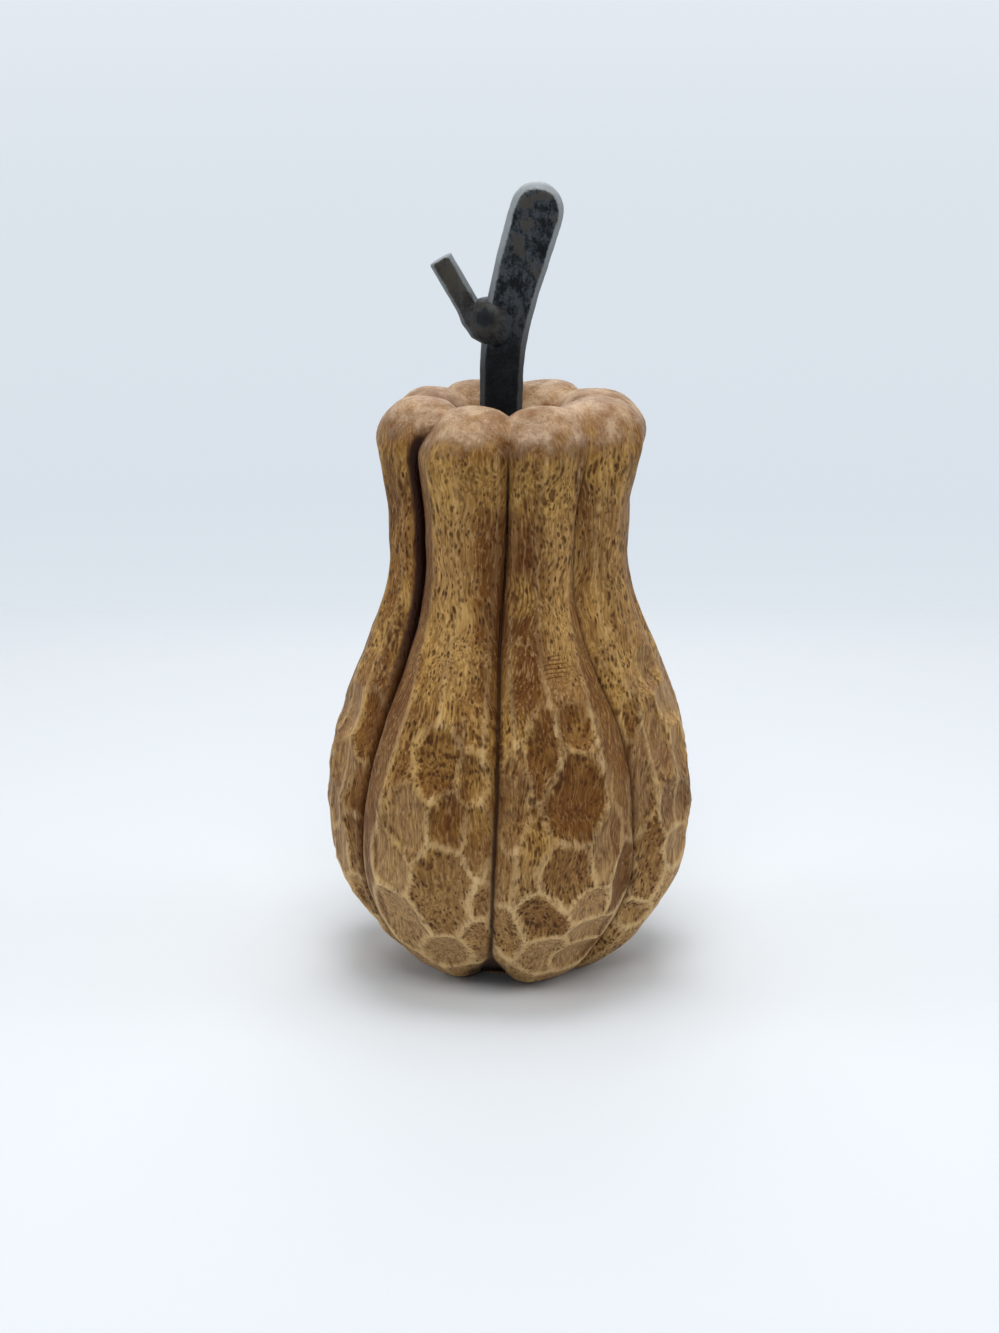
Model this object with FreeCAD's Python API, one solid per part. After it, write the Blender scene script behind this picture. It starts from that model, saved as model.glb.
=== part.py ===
import FreeCAD, Part
import math
import os

# Carved wooden gourd with a forked metal stem.
#
# The gourd is one block of wood, turned and then carved into eight lobes that run from the flat
# base over the belly and the neck into a dimple at the top.  A dark metal stem stands on the
# dimple's floor.  It carries a short side twig, and a round bead closes the joint of the two.
# A stud holds the stem down in the wood, and a felt disc is let into the base.
#
# Millimetres.  +Z is up, the front is -Y, and the origin is the centre of the felt's lower face,
# which is what the ornament stands on.  Azimuths are degrees from the front, growing towards +X.

# Gourd: the radius over the middle of a lobe, at the height where that radius is reached
base_radius = 25.5
belly_radius = 57.0
neck_radius = 36.6
crown_radius = 41.0
crest_radius = 27.0

# Rises from one of these heights to the next, and the dimple's depth below the crest
belly_rise = 52.0
neck_rise = 82.0
crown_rise = 30.5
crest_rise = 13.1
dimple_depth = 15.0

# Grooves between the lobes: how far they lie inside the middle of a lobe, and how much lower
# than the lobes they cross the crown
base_groove_depth = 5.5
belly_groove_depth = 6.0
neck_groove_depth = 5.4
crown_groove_depth = 6.0
crest_groove_depth = 1.6
crown_groove_drop = 1.0
crest_groove_drop = 4.5

# One entry for each groove: its azimuth at the crest, how far it leans by the time it reaches
# the base, and its depth as a share of the common depth
groove_azimuths = [0.0, 37.0, 88.0, 133.0, 178.0, 220.0, 267.0, 303.0]
groove_leans = [-7.0, 8.0, 1.0, -2.0, 2.0, -1.0, -3.0, -6.0]
groove_depth_shares = [1.0, 0.75, 0.8, 1.05, 0.95, 1.0, 0.8, 1.35]

# One entry for each lobe, from the front groove on: its radius as a share of the common radius
lobe_radius_shares = [1.0, 1.025, 1.025, 1.0, 0.99, 1.0, 0.99, 1.0]

# Stations between two named ones: shares of the way in radius, height, groove depth and
# groove height
base_to_belly_shares = [
    (0.27, 0.115, 0.1, 0.115),
    (0.53, 0.27, 0.25, 0.27),
    (0.797, 0.5, 0.5, 0.5),
    (0.962, 0.75, 0.75, 0.75),
]
belly_to_neck_shares = [
    (0.069, 0.195, 0.2, 0.195),
    (0.284, 0.39, 0.4, 0.39),
    (0.583, 0.573, 0.6, 0.573),
    (0.853, 0.756, 0.8, 0.756),
    (0.985, 0.902, 0.9, 0.902),
]
neck_to_crown_shares = [
    (0.1, 0.393, 0.25, 0.4),
    (0.65, 0.754, 0.7, 0.76),
]
crown_to_crest_shares = [
    (0.107, 0.464, 0.0, 0.5),
    (0.357, 0.779, 0.2, 0.83),
    (0.657, 0.957, 0.56, 0.98),
]
crest_to_dimple_shares = [
    (0.323, 0.084, 0.55, 0.05),
    (0.613, 0.316, 0.77, 0.23),
    (0.839, 0.626, 0.91, 0.53),
]

# Felt disc, let into the base inside the deepest groove
felt_thickness = 2.5
felt_proud = 0.5
felt_clearance = 0.3
felt_margin = 1.5

# Stem, as seen from the front: offsets are towards +X, heights are above its foot
stem_foot_offset = -2.5
stem_foot_width = 12.2
stem_shaft_offset = -2.2
stem_shaft_width = 12.8
stem_shaft_height = 20.5
stem_tip_offset = 8.1
stem_tip_width = 15.8
stem_tip_height = 68.7
stem_tip_lean = 15.0
stem_thickness = 10.6
stem_bevel = 2.4
stem_bend_share = 0.33
stem_foot_clearance = 1.4

# Side twig, a round rod that leans to the left.  Its axis meets the stem's left edge at a share
# of the way along the edge's bend, and its length counts from there
twig_radius = 3.6
twig_length = 24.6
twig_lean = 30.3
twig_root_depth = 7.0
twig_end_bevel = 0.5
joint_share = 0.25

# Bead in the fork of stem and twig: how far along the twig its centre lies, and how far the
# twig's lower side stands out of it
bead_radius = 7.8
bead_reach = 1.5
bead_step = 0.3

# Stud that joins stem and gourd
stud_radius = 3.0
stud_in_stem = 14.0
stud_in_wood = 24.0
stud_end_bevel = 0.8
stud_clearance = 0.05
drill_point_depth = 1.5

UP = FreeCAD.Vector(0, 0, 1)
BACK = FreeCAD.Vector(0, 1, 0)

base_height = felt_proud
belly_height = base_height + belly_rise
neck_height = belly_height + neck_rise
crown_height = neck_height + crown_rise
crest_height = crown_height + crest_rise
dimple_height = crest_height - dimple_depth

# The dimple's floor is just large enough for the stem's foot
foot_corner = math.hypot(abs(stem_foot_offset) + stem_foot_width / 2, stem_thickness / 2)
dimple_radius = foot_corner + stem_foot_clearance

deepest_base_groove = base_groove_depth * max(groove_depth_shares)
felt_recess_radius = base_radius - deepest_base_groove - felt_margin
felt_radius = felt_recess_radius - felt_clearance

# Each station is the lobes' radius and height, then the grooves' depth and height
base_station = (base_radius, base_height, base_groove_depth, base_height)
belly_station = (belly_radius, belly_height, belly_groove_depth, belly_height)
neck_station = (neck_radius, neck_height, neck_groove_depth, neck_height)
crown_station = (crown_radius, crown_height, crown_groove_depth, crown_height - crown_groove_drop)
crest_station = (crest_radius, crest_height, crest_groove_depth, crest_height - crest_groove_drop)
dimple_station = (dimple_radius, dimple_height, 0, dimple_height)


def stations_between(start, end, share_rows):
    """The stations on the way from start to end, and end itself."""
    stations = []
    for shares in share_rows:
        stations.append(tuple(a + (b - a) * share for a, b, share in zip(start, end, shares)))
    return stations + [end]


def all_stations():
    stations = [base_station]
    stations += stations_between(base_station, belly_station, base_to_belly_shares)
    stations += stations_between(belly_station, neck_station, belly_to_neck_shares)
    stations += stations_between(neck_station, crown_station, neck_to_crown_shares)
    stations += stations_between(crown_station, crest_station, crown_to_crest_shares)
    stations += stations_between(crest_station, dimple_station, crest_to_dimple_shares)
    return stations


def around(radius, azimuth, height):
    turn = math.radians(azimuth)
    return FreeCAD.Vector(radius * math.sin(turn), -radius * math.cos(turn), height)


def lobed_ring(station):
    """A closed ring of arcs, one for each lobe, that meet in the grooves."""
    radius, height, groove_depth, groove_height = station
    way_down = (crest_height - height) / (crest_height - base_height)
    azimuths = [a + lean * way_down for a, lean in zip(groove_azimuths, groove_leans)]
    azimuths.append(azimuths[0] + 360)
    depths = [groove_depth * share for share in groove_depth_shares]
    depths.append(depths[0])
    grooves = [around(radius - d, a, groove_height) for a, d in zip(azimuths, depths)]
    arcs = []
    for i in range(len(groove_azimuths)):
        lobe_radius = radius * lobe_radius_shares[i]
        middle = around(lobe_radius, (azimuths[i] + azimuths[i + 1]) / 2, height)
        arcs.append(Part.Arc(grooves[i], middle, grooves[i + 1]).toShape())
    return Part.Wire(arcs)


def drilled_hole(depth, direction):
    """A blind hole on the stud's axis, from the dimple's floor along direction."""
    radius = stud_radius + stud_clearance
    mouth = FreeCAD.Vector(stem_foot_offset, 0, dimple_height)
    bore = Part.makeCylinder(radius, depth, mouth, direction)
    point = Part.makeCone(radius, 0, drill_point_depth, mouth + direction * depth, direction)
    return bore.fuse(point)


def gourd_body():
    """The carved block, with the felt's recess in its base and the stud's hole in its dimple."""
    block = Part.makeLoft([lobed_ring(station) for station in all_stations()], True, False)
    recess = Part.makeCylinder(felt_recess_radius, felt_thickness)
    return block.cut(recess).cut(drilled_hole(stud_in_wood, -UP))


def base_felt():
    return Part.makeCylinder(felt_radius, felt_thickness)


def above_foot(offset, height):
    """A point of the stem's middle plane, its height counted from the stem's foot."""
    return FreeCAD.Vector(offset, 0, dimple_height + height)


def bend(start, start_direction, end, end_direction):
    """A smooth curve that leaves start and reaches end in the given directions."""
    reach = (end - start).Length * stem_bend_share
    curve = Part.BezierCurve()
    curve.setPoles([start, start + start_direction * reach, end - end_direction * reach, end])
    return curve


def leaning(lean):
    """The direction in the stem's middle plane that leans from upright towards +X."""
    turn = math.radians(lean)
    return FreeCAD.Vector(math.sin(turn), 0, math.cos(turn))


def stem_side(side):
    """One side of the stem: the foot's corner, the shaft's top, and the bend up to the tip."""
    foot = above_foot(stem_foot_offset + side * stem_foot_width / 2, 0)
    shaft = above_foot(stem_shaft_offset + side * stem_shaft_width / 2, stem_shaft_height)
    tip = above_foot(stem_tip_offset, stem_tip_height)
    tip_side = tip + leaning(stem_tip_lean + 90) * (side * stem_tip_width / 2)
    upwards = (shaft - foot).normalize()
    return foot, shaft, bend(shaft, upwards, tip_side, leaning(stem_tip_lean))


def stem_outline():
    """The stem seen from the front: straight shaft, bent fork and round tip."""
    left_foot, left_shaft, left_bend = stem_side(-1)
    right_foot, right_shaft, right_bend = stem_side(1)
    tip = above_foot(stem_tip_offset, stem_tip_height)
    top = tip + leaning(stem_tip_lean) * (stem_tip_width / 2)
    edges = [
        Part.makeLine(right_foot, left_foot),
        Part.makeLine(left_foot, left_shaft),
        left_bend.toShape(),
        Part.Arc(left_bend.EndPoint, top, right_bend.EndPoint).toShape(),
        right_bend.toShape(),
        Part.makeLine(right_shaft, right_foot),
    ]
    return Part.Wire(Part.__sortEdges__(edges))


def stem_blank():
    """The stem with its front and back rims bevelled, before its foot is drilled."""
    outline = stem_outline()
    outline.translate(BACK * (-stem_thickness / 2))
    bar = Part.Face(outline).extrude(BACK * stem_thickness)
    rims = []
    for edge in bar.Edges:
        box = edge.BoundBox
        if box.YLength < stem_bevel and box.ZLength > stem_bevel:
            rims.append(edge)
    return bar.makeChamfer(stem_bevel, rims)


def stem():
    return stem_blank().cut(drilled_hole(stud_in_stem, UP))


def twig_joint():
    """Where the twig's axis meets the stem's left edge."""
    left_bend = stem_side(-1)[-1]
    return left_bend.value(joint_share)


def twig_rod():
    """The side twig from a root inside the stem to its sawn end."""
    direction = leaning(-twig_lean)
    root = twig_joint() - direction * twig_root_depth
    end = twig_joint() + direction * twig_length
    rod = Part.makeCylinder(twig_radius, twig_root_depth + twig_length, root, direction)
    rims = [edge for edge in rod.Edges if edge.CenterOfMass.distanceToPoint(end) < twig_end_bevel]
    return rod.makeChamfer(twig_end_bevel, rims)


def side_twig():
    return twig_rod().cut(stem_blank())


def joint_bead():
    """The round bead in the fork, fitted to the stem and to the twig."""
    from_axis = bead_radius + bead_step - twig_radius
    into_fork = leaning(90 - twig_lean)
    centre = twig_joint() + leaning(-twig_lean) * bead_reach + into_fork * from_axis
    return Part.makeSphere(bead_radius, centre).cut(stem_blank()).cut(twig_rod())


def stem_stud():
    """The stud, bevelled at both ends."""
    foot = above_foot(stem_foot_offset, -stud_in_wood)
    stud = Part.makeCylinder(stud_radius, stud_in_wood + stud_in_stem, foot)
    rims = [edge for edge in stud.Edges if edge.BoundBox.ZLength < stud_end_bevel]
    return stud.makeChamfer(stud_end_bevel, rims)


def main():
    os.makedirs("parts", exist_ok=True)
    pieces = {
        "gourd_body": gourd_body(),
        "base_felt": base_felt(),
        "stem": stem(),
        "side_twig": side_twig(),
        "joint_bead": joint_bead(),
        "stem_stud": stem_stud(),
    }
    for name, shape in pieces.items():
        box = shape.BoundBox
        print(
            f"{name}: {len(shape.Solids)} solid, {shape.Volume / 1000:.2f} cm3, "
            f"valid {shape.isValid()}, top {box.ZMax:.2f}"
        )
        shape.exportStep(f"parts/{name}.step")


main()
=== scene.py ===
# %% [markdown]
# # A carved wooden gourd with a forked iron stem
# The real ornament is one block of wood, turned on a lathe and then carved into eight lobes, with
# gouge cuts left on the belly.  A blackened iron stem stands in the dimple at its top.  The CAD
# model gives every piece its size and place, so the lesson starts by loading it as a frame.

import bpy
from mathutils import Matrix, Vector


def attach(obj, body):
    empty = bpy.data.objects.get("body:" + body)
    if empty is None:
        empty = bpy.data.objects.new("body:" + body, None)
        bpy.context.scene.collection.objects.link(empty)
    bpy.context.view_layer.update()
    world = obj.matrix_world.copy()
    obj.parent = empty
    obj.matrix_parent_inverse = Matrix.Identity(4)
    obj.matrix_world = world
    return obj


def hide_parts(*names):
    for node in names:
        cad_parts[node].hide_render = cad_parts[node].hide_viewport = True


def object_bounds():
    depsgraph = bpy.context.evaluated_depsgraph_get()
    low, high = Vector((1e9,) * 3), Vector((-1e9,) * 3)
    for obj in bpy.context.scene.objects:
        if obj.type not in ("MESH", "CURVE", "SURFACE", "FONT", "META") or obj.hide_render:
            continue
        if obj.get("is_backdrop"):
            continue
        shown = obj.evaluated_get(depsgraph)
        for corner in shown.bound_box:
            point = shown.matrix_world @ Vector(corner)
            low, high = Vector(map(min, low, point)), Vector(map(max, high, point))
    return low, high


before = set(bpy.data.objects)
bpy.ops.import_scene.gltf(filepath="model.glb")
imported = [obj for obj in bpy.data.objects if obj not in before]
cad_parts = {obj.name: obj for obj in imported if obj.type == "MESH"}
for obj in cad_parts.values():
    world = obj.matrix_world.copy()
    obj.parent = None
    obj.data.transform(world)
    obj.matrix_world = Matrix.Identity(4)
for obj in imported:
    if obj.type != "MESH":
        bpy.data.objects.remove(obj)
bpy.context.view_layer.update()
print("CAD nodes:", ", ".join(sorted(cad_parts)))

# %% Tools that every cell uses
import math

import bpy
import numpy as np
from mathutils import Vector, noise
from mathutils.bvhtree import BVHTree

mm = 0.001


def deselect_all():
    """Leaves edit mode with nothing selected, because operators act on all that is selected."""
    if bpy.context.mode != "OBJECT":
        bpy.ops.object.mode_set(mode="OBJECT")
    bpy.ops.object.select_all(action="DESELECT")


def keep_place_in_mesh(piece):
    """Moves the object to the origin, unturned and unscaled, and leaves the shape where it is."""
    deselect_all()
    bpy.context.view_layer.objects.active = piece
    piece.select_set(True)
    bpy.ops.object.transform_apply(location=True, rotation=True, scale=True)


def points_of(piece):
    """The piece's points as an array, in millimetres."""
    points = np.zeros(len(piece.data.vertices) * 3)
    piece.data.vertices.foreach_get("co", points)
    return points.reshape(-1, 3) / mm


def normals_of(piece):
    """The normal at each of the piece's points, as an array."""
    normals = np.zeros(len(piece.data.vertices) * 3)
    piece.data.vertices.foreach_get("normal", normals)
    return normals.reshape(-1, 3)


def move_points(piece, points):
    """Puts the piece's points where the array says, in millimetres."""
    piece.data.vertices.foreach_set("co", (points * mm).astype(np.float32).ravel())
    piece.data.update()


def smooth_noise(points, size, seed=0.0):
    """A smooth random value from -1 to 1 for each point; its bumps are about size mm across."""
    shift = Vector((seed, -seed, seed / 2))
    return np.array([noise.noise(Vector(p) / size + shift) for p in points])


# %% [markdown]
# ## The camera
# The photograph looks down on the ornament by about 15 degrees, from some 80 cm, through a
# short telephoto lens.  The focal length is worked out from the frame's height in pixels, because
# Blender measures a lens against the long side of the picture.

# %% Place the camera
photo_width, photo_height = 999, 1333
focal_pixels = 2700.0
camera_pitch = 14.85
camera_place = Vector((-2.8, -795.4, 304.8)) * mm
long_side_sensor = 36.0

bpy.ops.object.camera_add(
    location=camera_place, rotation=(math.radians(90 - camera_pitch), 0, 0)
)
camera = bpy.context.object
camera.data.sensor_width = long_side_sensor
camera.data.lens = focal_pixels / photo_height * long_side_sensor
camera.data.clip_start = 10 * mm
bpy.context.scene.camera = camera
print(f"lens {camera.data.lens:.1f} mm")

# %% [markdown]
# ## Writing a material as sums
# A material is a tree of small nodes.  Wrapping each socket in a class with + - * lets the shader
# maths be written as ordinary expressions, and one method makes every other kind of node.

# %% A socket that can be reckoned with
class Value:
    """A socket of a finish.  A sum with it adds a Math node."""

    def __init__(self, finish, socket):
        self.finish = finish
        self.socket = socket

    def reckon(self, operation, first, second=0.0):
        return self.finish.node("Math", {"operation": operation}, {0: first, 1: second})

    def __add__(self, other):
        return self.reckon("ADD", self, other)

    def __sub__(self, other):
        return self.reckon("SUBTRACT", self, other)

    def __mul__(self, other):
        return self.reckon("MULTIPLY", self, other)

    def __radd__(self, other):
        return self.reckon("ADD", other, self)

    def __rsub__(self, other):
        return self.reckon("SUBTRACT", other, self)

    def __rmul__(self, other):
        return self.reckon("MULTIPLY", other, self)

    def __abs__(self):
        return self.reckon("ABSOLUTE", self)

    def over(self, limit):
        """1 where the value is over the limit, else 0."""
        return self.reckon("GREATER_THAN", self, limit)

    def larger(self, other):
        return self.reckon("MAXIMUM", self, other)

    def swayed(self, clouds, by):
        """The value moved up and down with a noise of 0 to 1, by that much in all."""
        return self + (clouds - 0.5) * by


# %% Colours
def paint(red, green, blue):
    """A colour as a screen shows it, 0 to 255, turned into Blender's linear light."""
    linear = []
    for level in (red, green, blue):
        share = level / 255
        linear.append(share / 12.92 if share <= 0.04045 else ((share + 0.055) / 1.055) ** 2.4)
    return (*linear, 1.0)


def set_stops(ramp, stops):
    """Gives a colour ramp, which starts with two stops, the place and colour of each stop."""
    for index, (place, colour) in enumerate(stops):
        if index >= 2:
            ramp.elements.new(place)
        ramp.elements[index].position = place
        ramp.elements[index].color = colour


# %% A finish that makes nodes
class Finish:
    """The nodes of one material, or of the world.  Each is made by node()."""

    def __init__(self, owner):
        owner.use_nodes = True
        self.owner = owner
        self.tree = owner.node_tree
        self.tree.nodes.clear()

    def node(self, kind, settings=None, sockets=None, output=0):
        """Adds a node: its settings first, then its sockets' values or links."""
        made = self.tree.nodes.new("ShaderNode" + kind)
        for name, setting in (settings or {}).items():
            if name == "stops":
                set_stops(made.color_ramp, setting)
            else:
                setattr(made, name, setting)
        for key, value in (sockets or {}).items():
            if isinstance(value, Value):
                self.tree.links.new(value.socket, made.inputs[key])
            else:
                made.inputs[key].default_value = value
        return Value(self, made.outputs[output]) if made.outputs else None

    def place(self, scale=(1, 1, 1)):
        """Object coordinates in millimetres, stretched by scale."""
        here = self.node("TexCoord", output="Object")
        stretch = tuple(share / mm for share in scale)
        return self.node("Mapping", None, {"Vector": here, "Scale": stretch})

    def axes(self, place):
        """The place's three coordinates, each as a value of its own."""
        split = self.node("SeparateXYZ", None, {0: place}).socket.node
        return [Value(self, socket) for socket in split.outputs]

    def attribute(self, name):
        """A value that is stored on the mesh."""
        return self.node("Attribute", {"attribute_name": name}, output="Fac")

    def shifted(self, place, scale, shift=(0, 0, 0)):
        """The place stretched by scale and moved by shift."""
        return self.node(
            "VectorMath", {"operation": "MULTIPLY_ADD"}, {0: place, 1: scale, 2: shift}
        )

    def clouds(self, place, scale=1.0, detail=3.0, roughness=0.5, distortion=0.0):
        """Noise from 0 to 1, mostly near 0.5."""
        sockets = {
            "Vector": place,
            "Scale": scale,
            "Detail": detail,
            "Roughness": roughness,
            "Distortion": distortion,
        }
        return self.node("TexNoise", None, sockets, "Fac")

    def step(self, value, low, high):
        """0 below low, 1 above high, and a soft step between them; low may be the larger."""
        sockets = {"Value": value, "From Min": low, "From Max": high}
        return self.node("MapRange", {"interpolation_type": "SMOOTHSTEP"}, sockets)

    def blend(self, share, first, second):
        """A colour from first, at share 0, to second, at share 1."""
        return self.node("Mix", {"data_type": "RGBA"}, {0: share, 6: first, 7: second}, 2)

    def layered(self, colour, layers):
        """The colour under layers of others: each is how much of it shows, and its colour."""
        for share, tint in layers:
            colour = self.blend(share, colour, tint)
        return colour

    def surface(self, sockets):
        """The finished surface: a Principled shader joined to the output."""
        shader = self.node("BsdfPrincipled", None, sockets)
        self.node("OutputMaterial", None, {"Surface": shader})

    def bump(self, height, depth):
        """A normal from a height of 0 to 1 that stands for depth in millimetres."""
        return self.node("Bump", None, {"Height": height, "Distance": depth * mm}, "Normal")


# %% [markdown]
# ## The floor, the background and the light
# The photograph was taken on a pale sweep of paper.  A curved sheet would cut through other views,
# so the floor is a plane that fades away at its rim, and the world shows a pale blue-white behind
# it.  What the camera and the reflections see is one colour, and what lights the wood is another,
# so the background can be nearly white without more light on the object.

# %% The sweep of paper
floor_reach = 440 * mm
floor_fade = 90 * mm

deselect_all()
bpy.ops.mesh.primitive_plane_add(size=4 * floor_reach)
floor = bpy.context.object
floor.name = "paper_floor"
floor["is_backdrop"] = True

paper = Finish(bpy.data.materials.new("pale_paper"))
across, along, _ = paper.axes(paper.node("TexCoord", output="Object"))
from_middle = abs(across).larger(abs(along))
faded = paper.step(from_middle, floor_reach - floor_fade, floor_reach + floor_fade)
sheet = paper.node(
    "BsdfPrincipled", None, {"Base Color": paint(229, 233, 236), "Roughness": 0.9}
)
gone = paper.node("BsdfTransparent")
mixed = paper.node("MixShader", None, {0: faded, 1: sheet, 2: gone})
paper.node("OutputMaterial", None, {"Surface": mixed})
floor.data.materials.append(paper.owner)
print(f"the floor fades {floor_fade:.2f} m to both sides of {floor_reach:.2f} m")

# %% The world behind it
sky_light_strength = 0.29
sky_light = paint(234, 243, 255)
# The colours that the camera sees, from straight down, at 0, to straight up, at 1
sky_stops = [
    (0.0, paint(232, 239, 245)),
    (0.36, paint(229, 237, 244)),
    (0.40, paint(217, 226, 234)),
    (0.46, paint(220, 228, 236)),
    (0.50, paint(229, 236, 242)),
    (1.0, paint(240, 244, 248)),
]

air = Finish(bpy.data.worlds.new("studio"))
bpy.context.scene.world = air.owner
upwards = air.axes(air.node("TexCoord", output="Generated"))[2]
level = air.node("MapRange", None, {"Value": upwards, "From Min": -1.0, "From Max": 1.0})
sky = air.node("ValToRGB", {"stops": sky_stops}, {0: level})
shown = air.node("Background", None, {"Color": sky})
lighting = air.node("Background", None, {"Color": sky_light, "Strength": sky_light_strength})
seen = air.node("LightPath", output="Is Camera Ray")
for ray in ("Is Glossy Ray", "Is Transmission Ray"):
    seen = seen.larger(air.node("LightPath", output=ray))
choice = air.node("MixShader", None, {0: seen, 1: lighting, 2: shown})
air.node("OutputWorld", None, {"Surface": choice})
bpy.context.scene.view_settings.view_transform = "Standard"
print("world:", len(air.tree.nodes), "nodes")

# %% The soft boxes
# Large, weak lamps on all sides give the soft shadows of the photograph.  Each is its place and
# its size across in millimetres, and its power in watts.
lit_height = 90
soft_boxes = {
    "overhead": ((10, 20, 950), 500, 4.0),
    "over_the_front": ((0, -570, 800), 500, 2.8),
    "from_the_right": ((900, -60, 480), 500, 1.65),
    "from_the_left": ((-900, -60, 480), 500, 1.65),
    "from_the_back": ((0, 800, 700), 700, 2.3),
}
for name, (place, size, power) in soft_boxes.items():
    deselect_all()
    where = Vector(place) * mm
    aim = (Vector((0, 0, lit_height)) * mm - where).to_track_quat("-Z", "Y").to_euler()
    bpy.ops.object.light_add(type="AREA", location=where, rotation=aim)
    light = bpy.context.object
    light.name = name
    light.data.shape = "DISK"
    light.data.size = size * mm
    light.data.energy = power
print("lights:", ", ".join(soft_boxes))

# %% [markdown]
# ## The turned block
# A gourd could be sculpted from a ball, but this one was turned first, so its outline is exact.
# The half profile is drawn by extruding one point again and again, and Spin turns it round.  The
# profile runs through the same stations as the CAD: each is the radius over the lobes, the height,
# and how deep and how high the grooves lie there.  A smooth curve joins them, with its points
# close together where scoops will be carved.

# %% The profile's stations, in millimetres
felt_recess = 16.6
recess_roof = 2.5
base_height = 0.5
crest_height = 178.1
dimple_floor = 163.1

# Radius, height, groove depth, groove height
stations = [
    (25.5, 0.5, 5.5, 0.5),
    (34.0, 6.5, 5.55, 6.5),
    (42.2, 14.5, 5.63, 14.5),
    (50.6, 26.5, 5.75, 26.5),
    (55.8, 39.5, 5.9, 39.5),
    (57.0, 52.5, 6.0, 52.5),
    (55.6, 68.5, 5.9, 68.5),
    (51.3, 84.5, 5.8, 84.5),
    (45.1, 99.5, 5.6, 99.5),
    (39.6, 114.5, 5.5, 114.5),
    (36.9, 126.5, 5.45, 126.5),
    (36.6, 134.5, 5.4, 134.5),
    (37.0, 146.5, 5.55, 146.3),
    (39.5, 157.5, 5.8, 156.9),
    (41.0, 165.0, 6.0, 164.0),
    (39.5, 171.1, 6.0, 168.8),
    (36.0, 175.2, 5.1, 172.0),
    (31.8, 177.5, 3.5, 173.4),
    (27.0, 178.1, 1.6, 173.6),
    (22.0, 176.8, 0.7, 173.1),
    (17.5, 173.4, 0.4, 171.2),
    (14.0, 168.7, 0.15, 168.0),
    (11.5, 163.1, 0.0, 163.1),
]
print(len(stations), "stations")

# %% Rows along the profile
fine_row = 0.76
coarse_row = 1.7
carved_height = 113.0
curve_steps = 60


def smooth_rows(points):
    """Rows along a smooth curve through the stations, finer below the neck than above it."""
    points = np.array(points, float)
    before = np.vstack([2 * points[0] - points[1], points, 2 * points[-1] - points[-2]])
    dense = []
    for i in range(len(points) - 1):
        p0, p1, p2, p3 = before[i:i + 4]
        for t in np.linspace(0, 1, curve_steps, endpoint=False):
            dense.append(
                0.5 * (2 * p1 + (p2 - p0) * t + (2 * p0 - 5 * p1 + 4 * p2 - p3) * t ** 2
                       + (3 * p1 - p0 - 3 * p2 + p3) * t ** 3)
            )
    dense.append(points[-1])
    rows = [dense[0]]
    walked = 0.0
    for last, point in zip(dense, dense[1:]):
        walked += math.hypot(point[0] - last[0], point[1] - last[1])
        if walked >= (fine_row if point[1] < carved_height else coarse_row):
            rows.append(point)
            walked = 0.0
    rows.append(points[-1])
    return rows


# The recess for the felt and the rim round it, and the dimple's floor
recess_rows = [
    (0.0, recess_roof, 0, recess_roof),
    (8.0, recess_roof, 0, recess_roof),
    (felt_recess, recess_roof, 0, recess_roof),
    (felt_recess, base_height, 0, base_height),
    (18.5, base_height, 1.0, base_height),
    (21.0, base_height, 2.4, base_height),
    (23.5, base_height, 4.0, base_height),
]
dimple_rows = [
    (8.0, dimple_floor, 0, dimple_floor),
    (4.0, dimple_floor, 0, dimple_floor),
    (0.0, dimple_floor, 0, dimple_floor),
]
rows = np.array([*recess_rows, *smooth_rows(stations), *dimple_rows], float)
first_lobed_row = 4
last_lobed_row = len(rows) - len(dimple_rows)
print(len(rows), "rows")


# %% Draw the profile and spin it
def drawn_line(name, points):
    """A line of edges, drawn by extruding one vertex from point to point.  Stays in edit mode."""
    deselect_all()
    bpy.ops.mesh.primitive_plane_add(size=mm, location=points[0])
    piece = bpy.context.object
    piece.name = name
    bpy.ops.object.mode_set(mode="EDIT")
    bpy.ops.mesh.select_all(action="SELECT")
    bpy.ops.mesh.merge(type="CENTER")
    for here, there in zip(points, points[1:]):
        step = there - here
        bpy.ops.mesh.extrude_region_move(TRANSFORM_OT_translate={"value": step})
    return piece


lobes = 8
columns_per_lobe = 48
columns = lobes * columns_per_lobe

profile = [Vector((0, -radius, height)) * mm for radius, height, _, _ in rows]
gourd = drawn_line("carved_gourd", profile)
bpy.ops.mesh.select_all(action="SELECT")
bpy.ops.mesh.spin(steps=columns, angle=math.tau, center=(0, 0, 0), axis=(0, 0, 1))
bpy.ops.mesh.select_all(action="SELECT")
bpy.ops.mesh.remove_doubles(threshold=mm / 100)
bpy.ops.mesh.normals_make_consistent(inside=False)
keep_place_in_mesh(gourd)
print(len(gourd.data.vertices), "points and", len(gourd.data.polygons), "faces turned")

# %% [markdown]
# ## The eight lobes
# The grooves were carved by hand, so they aren't evenly spaced, lean a little, wander and differ
# in depth.  No operator carves such lobes, so the turned block's points are moved in code: at each
# height the lobes are arcs that meet in the grooves, as in the CAD.  The five grooves at the back
# are straight, leaning lines as they are there, and the three that the photograph shows follow
# the lines that it shows.

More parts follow.
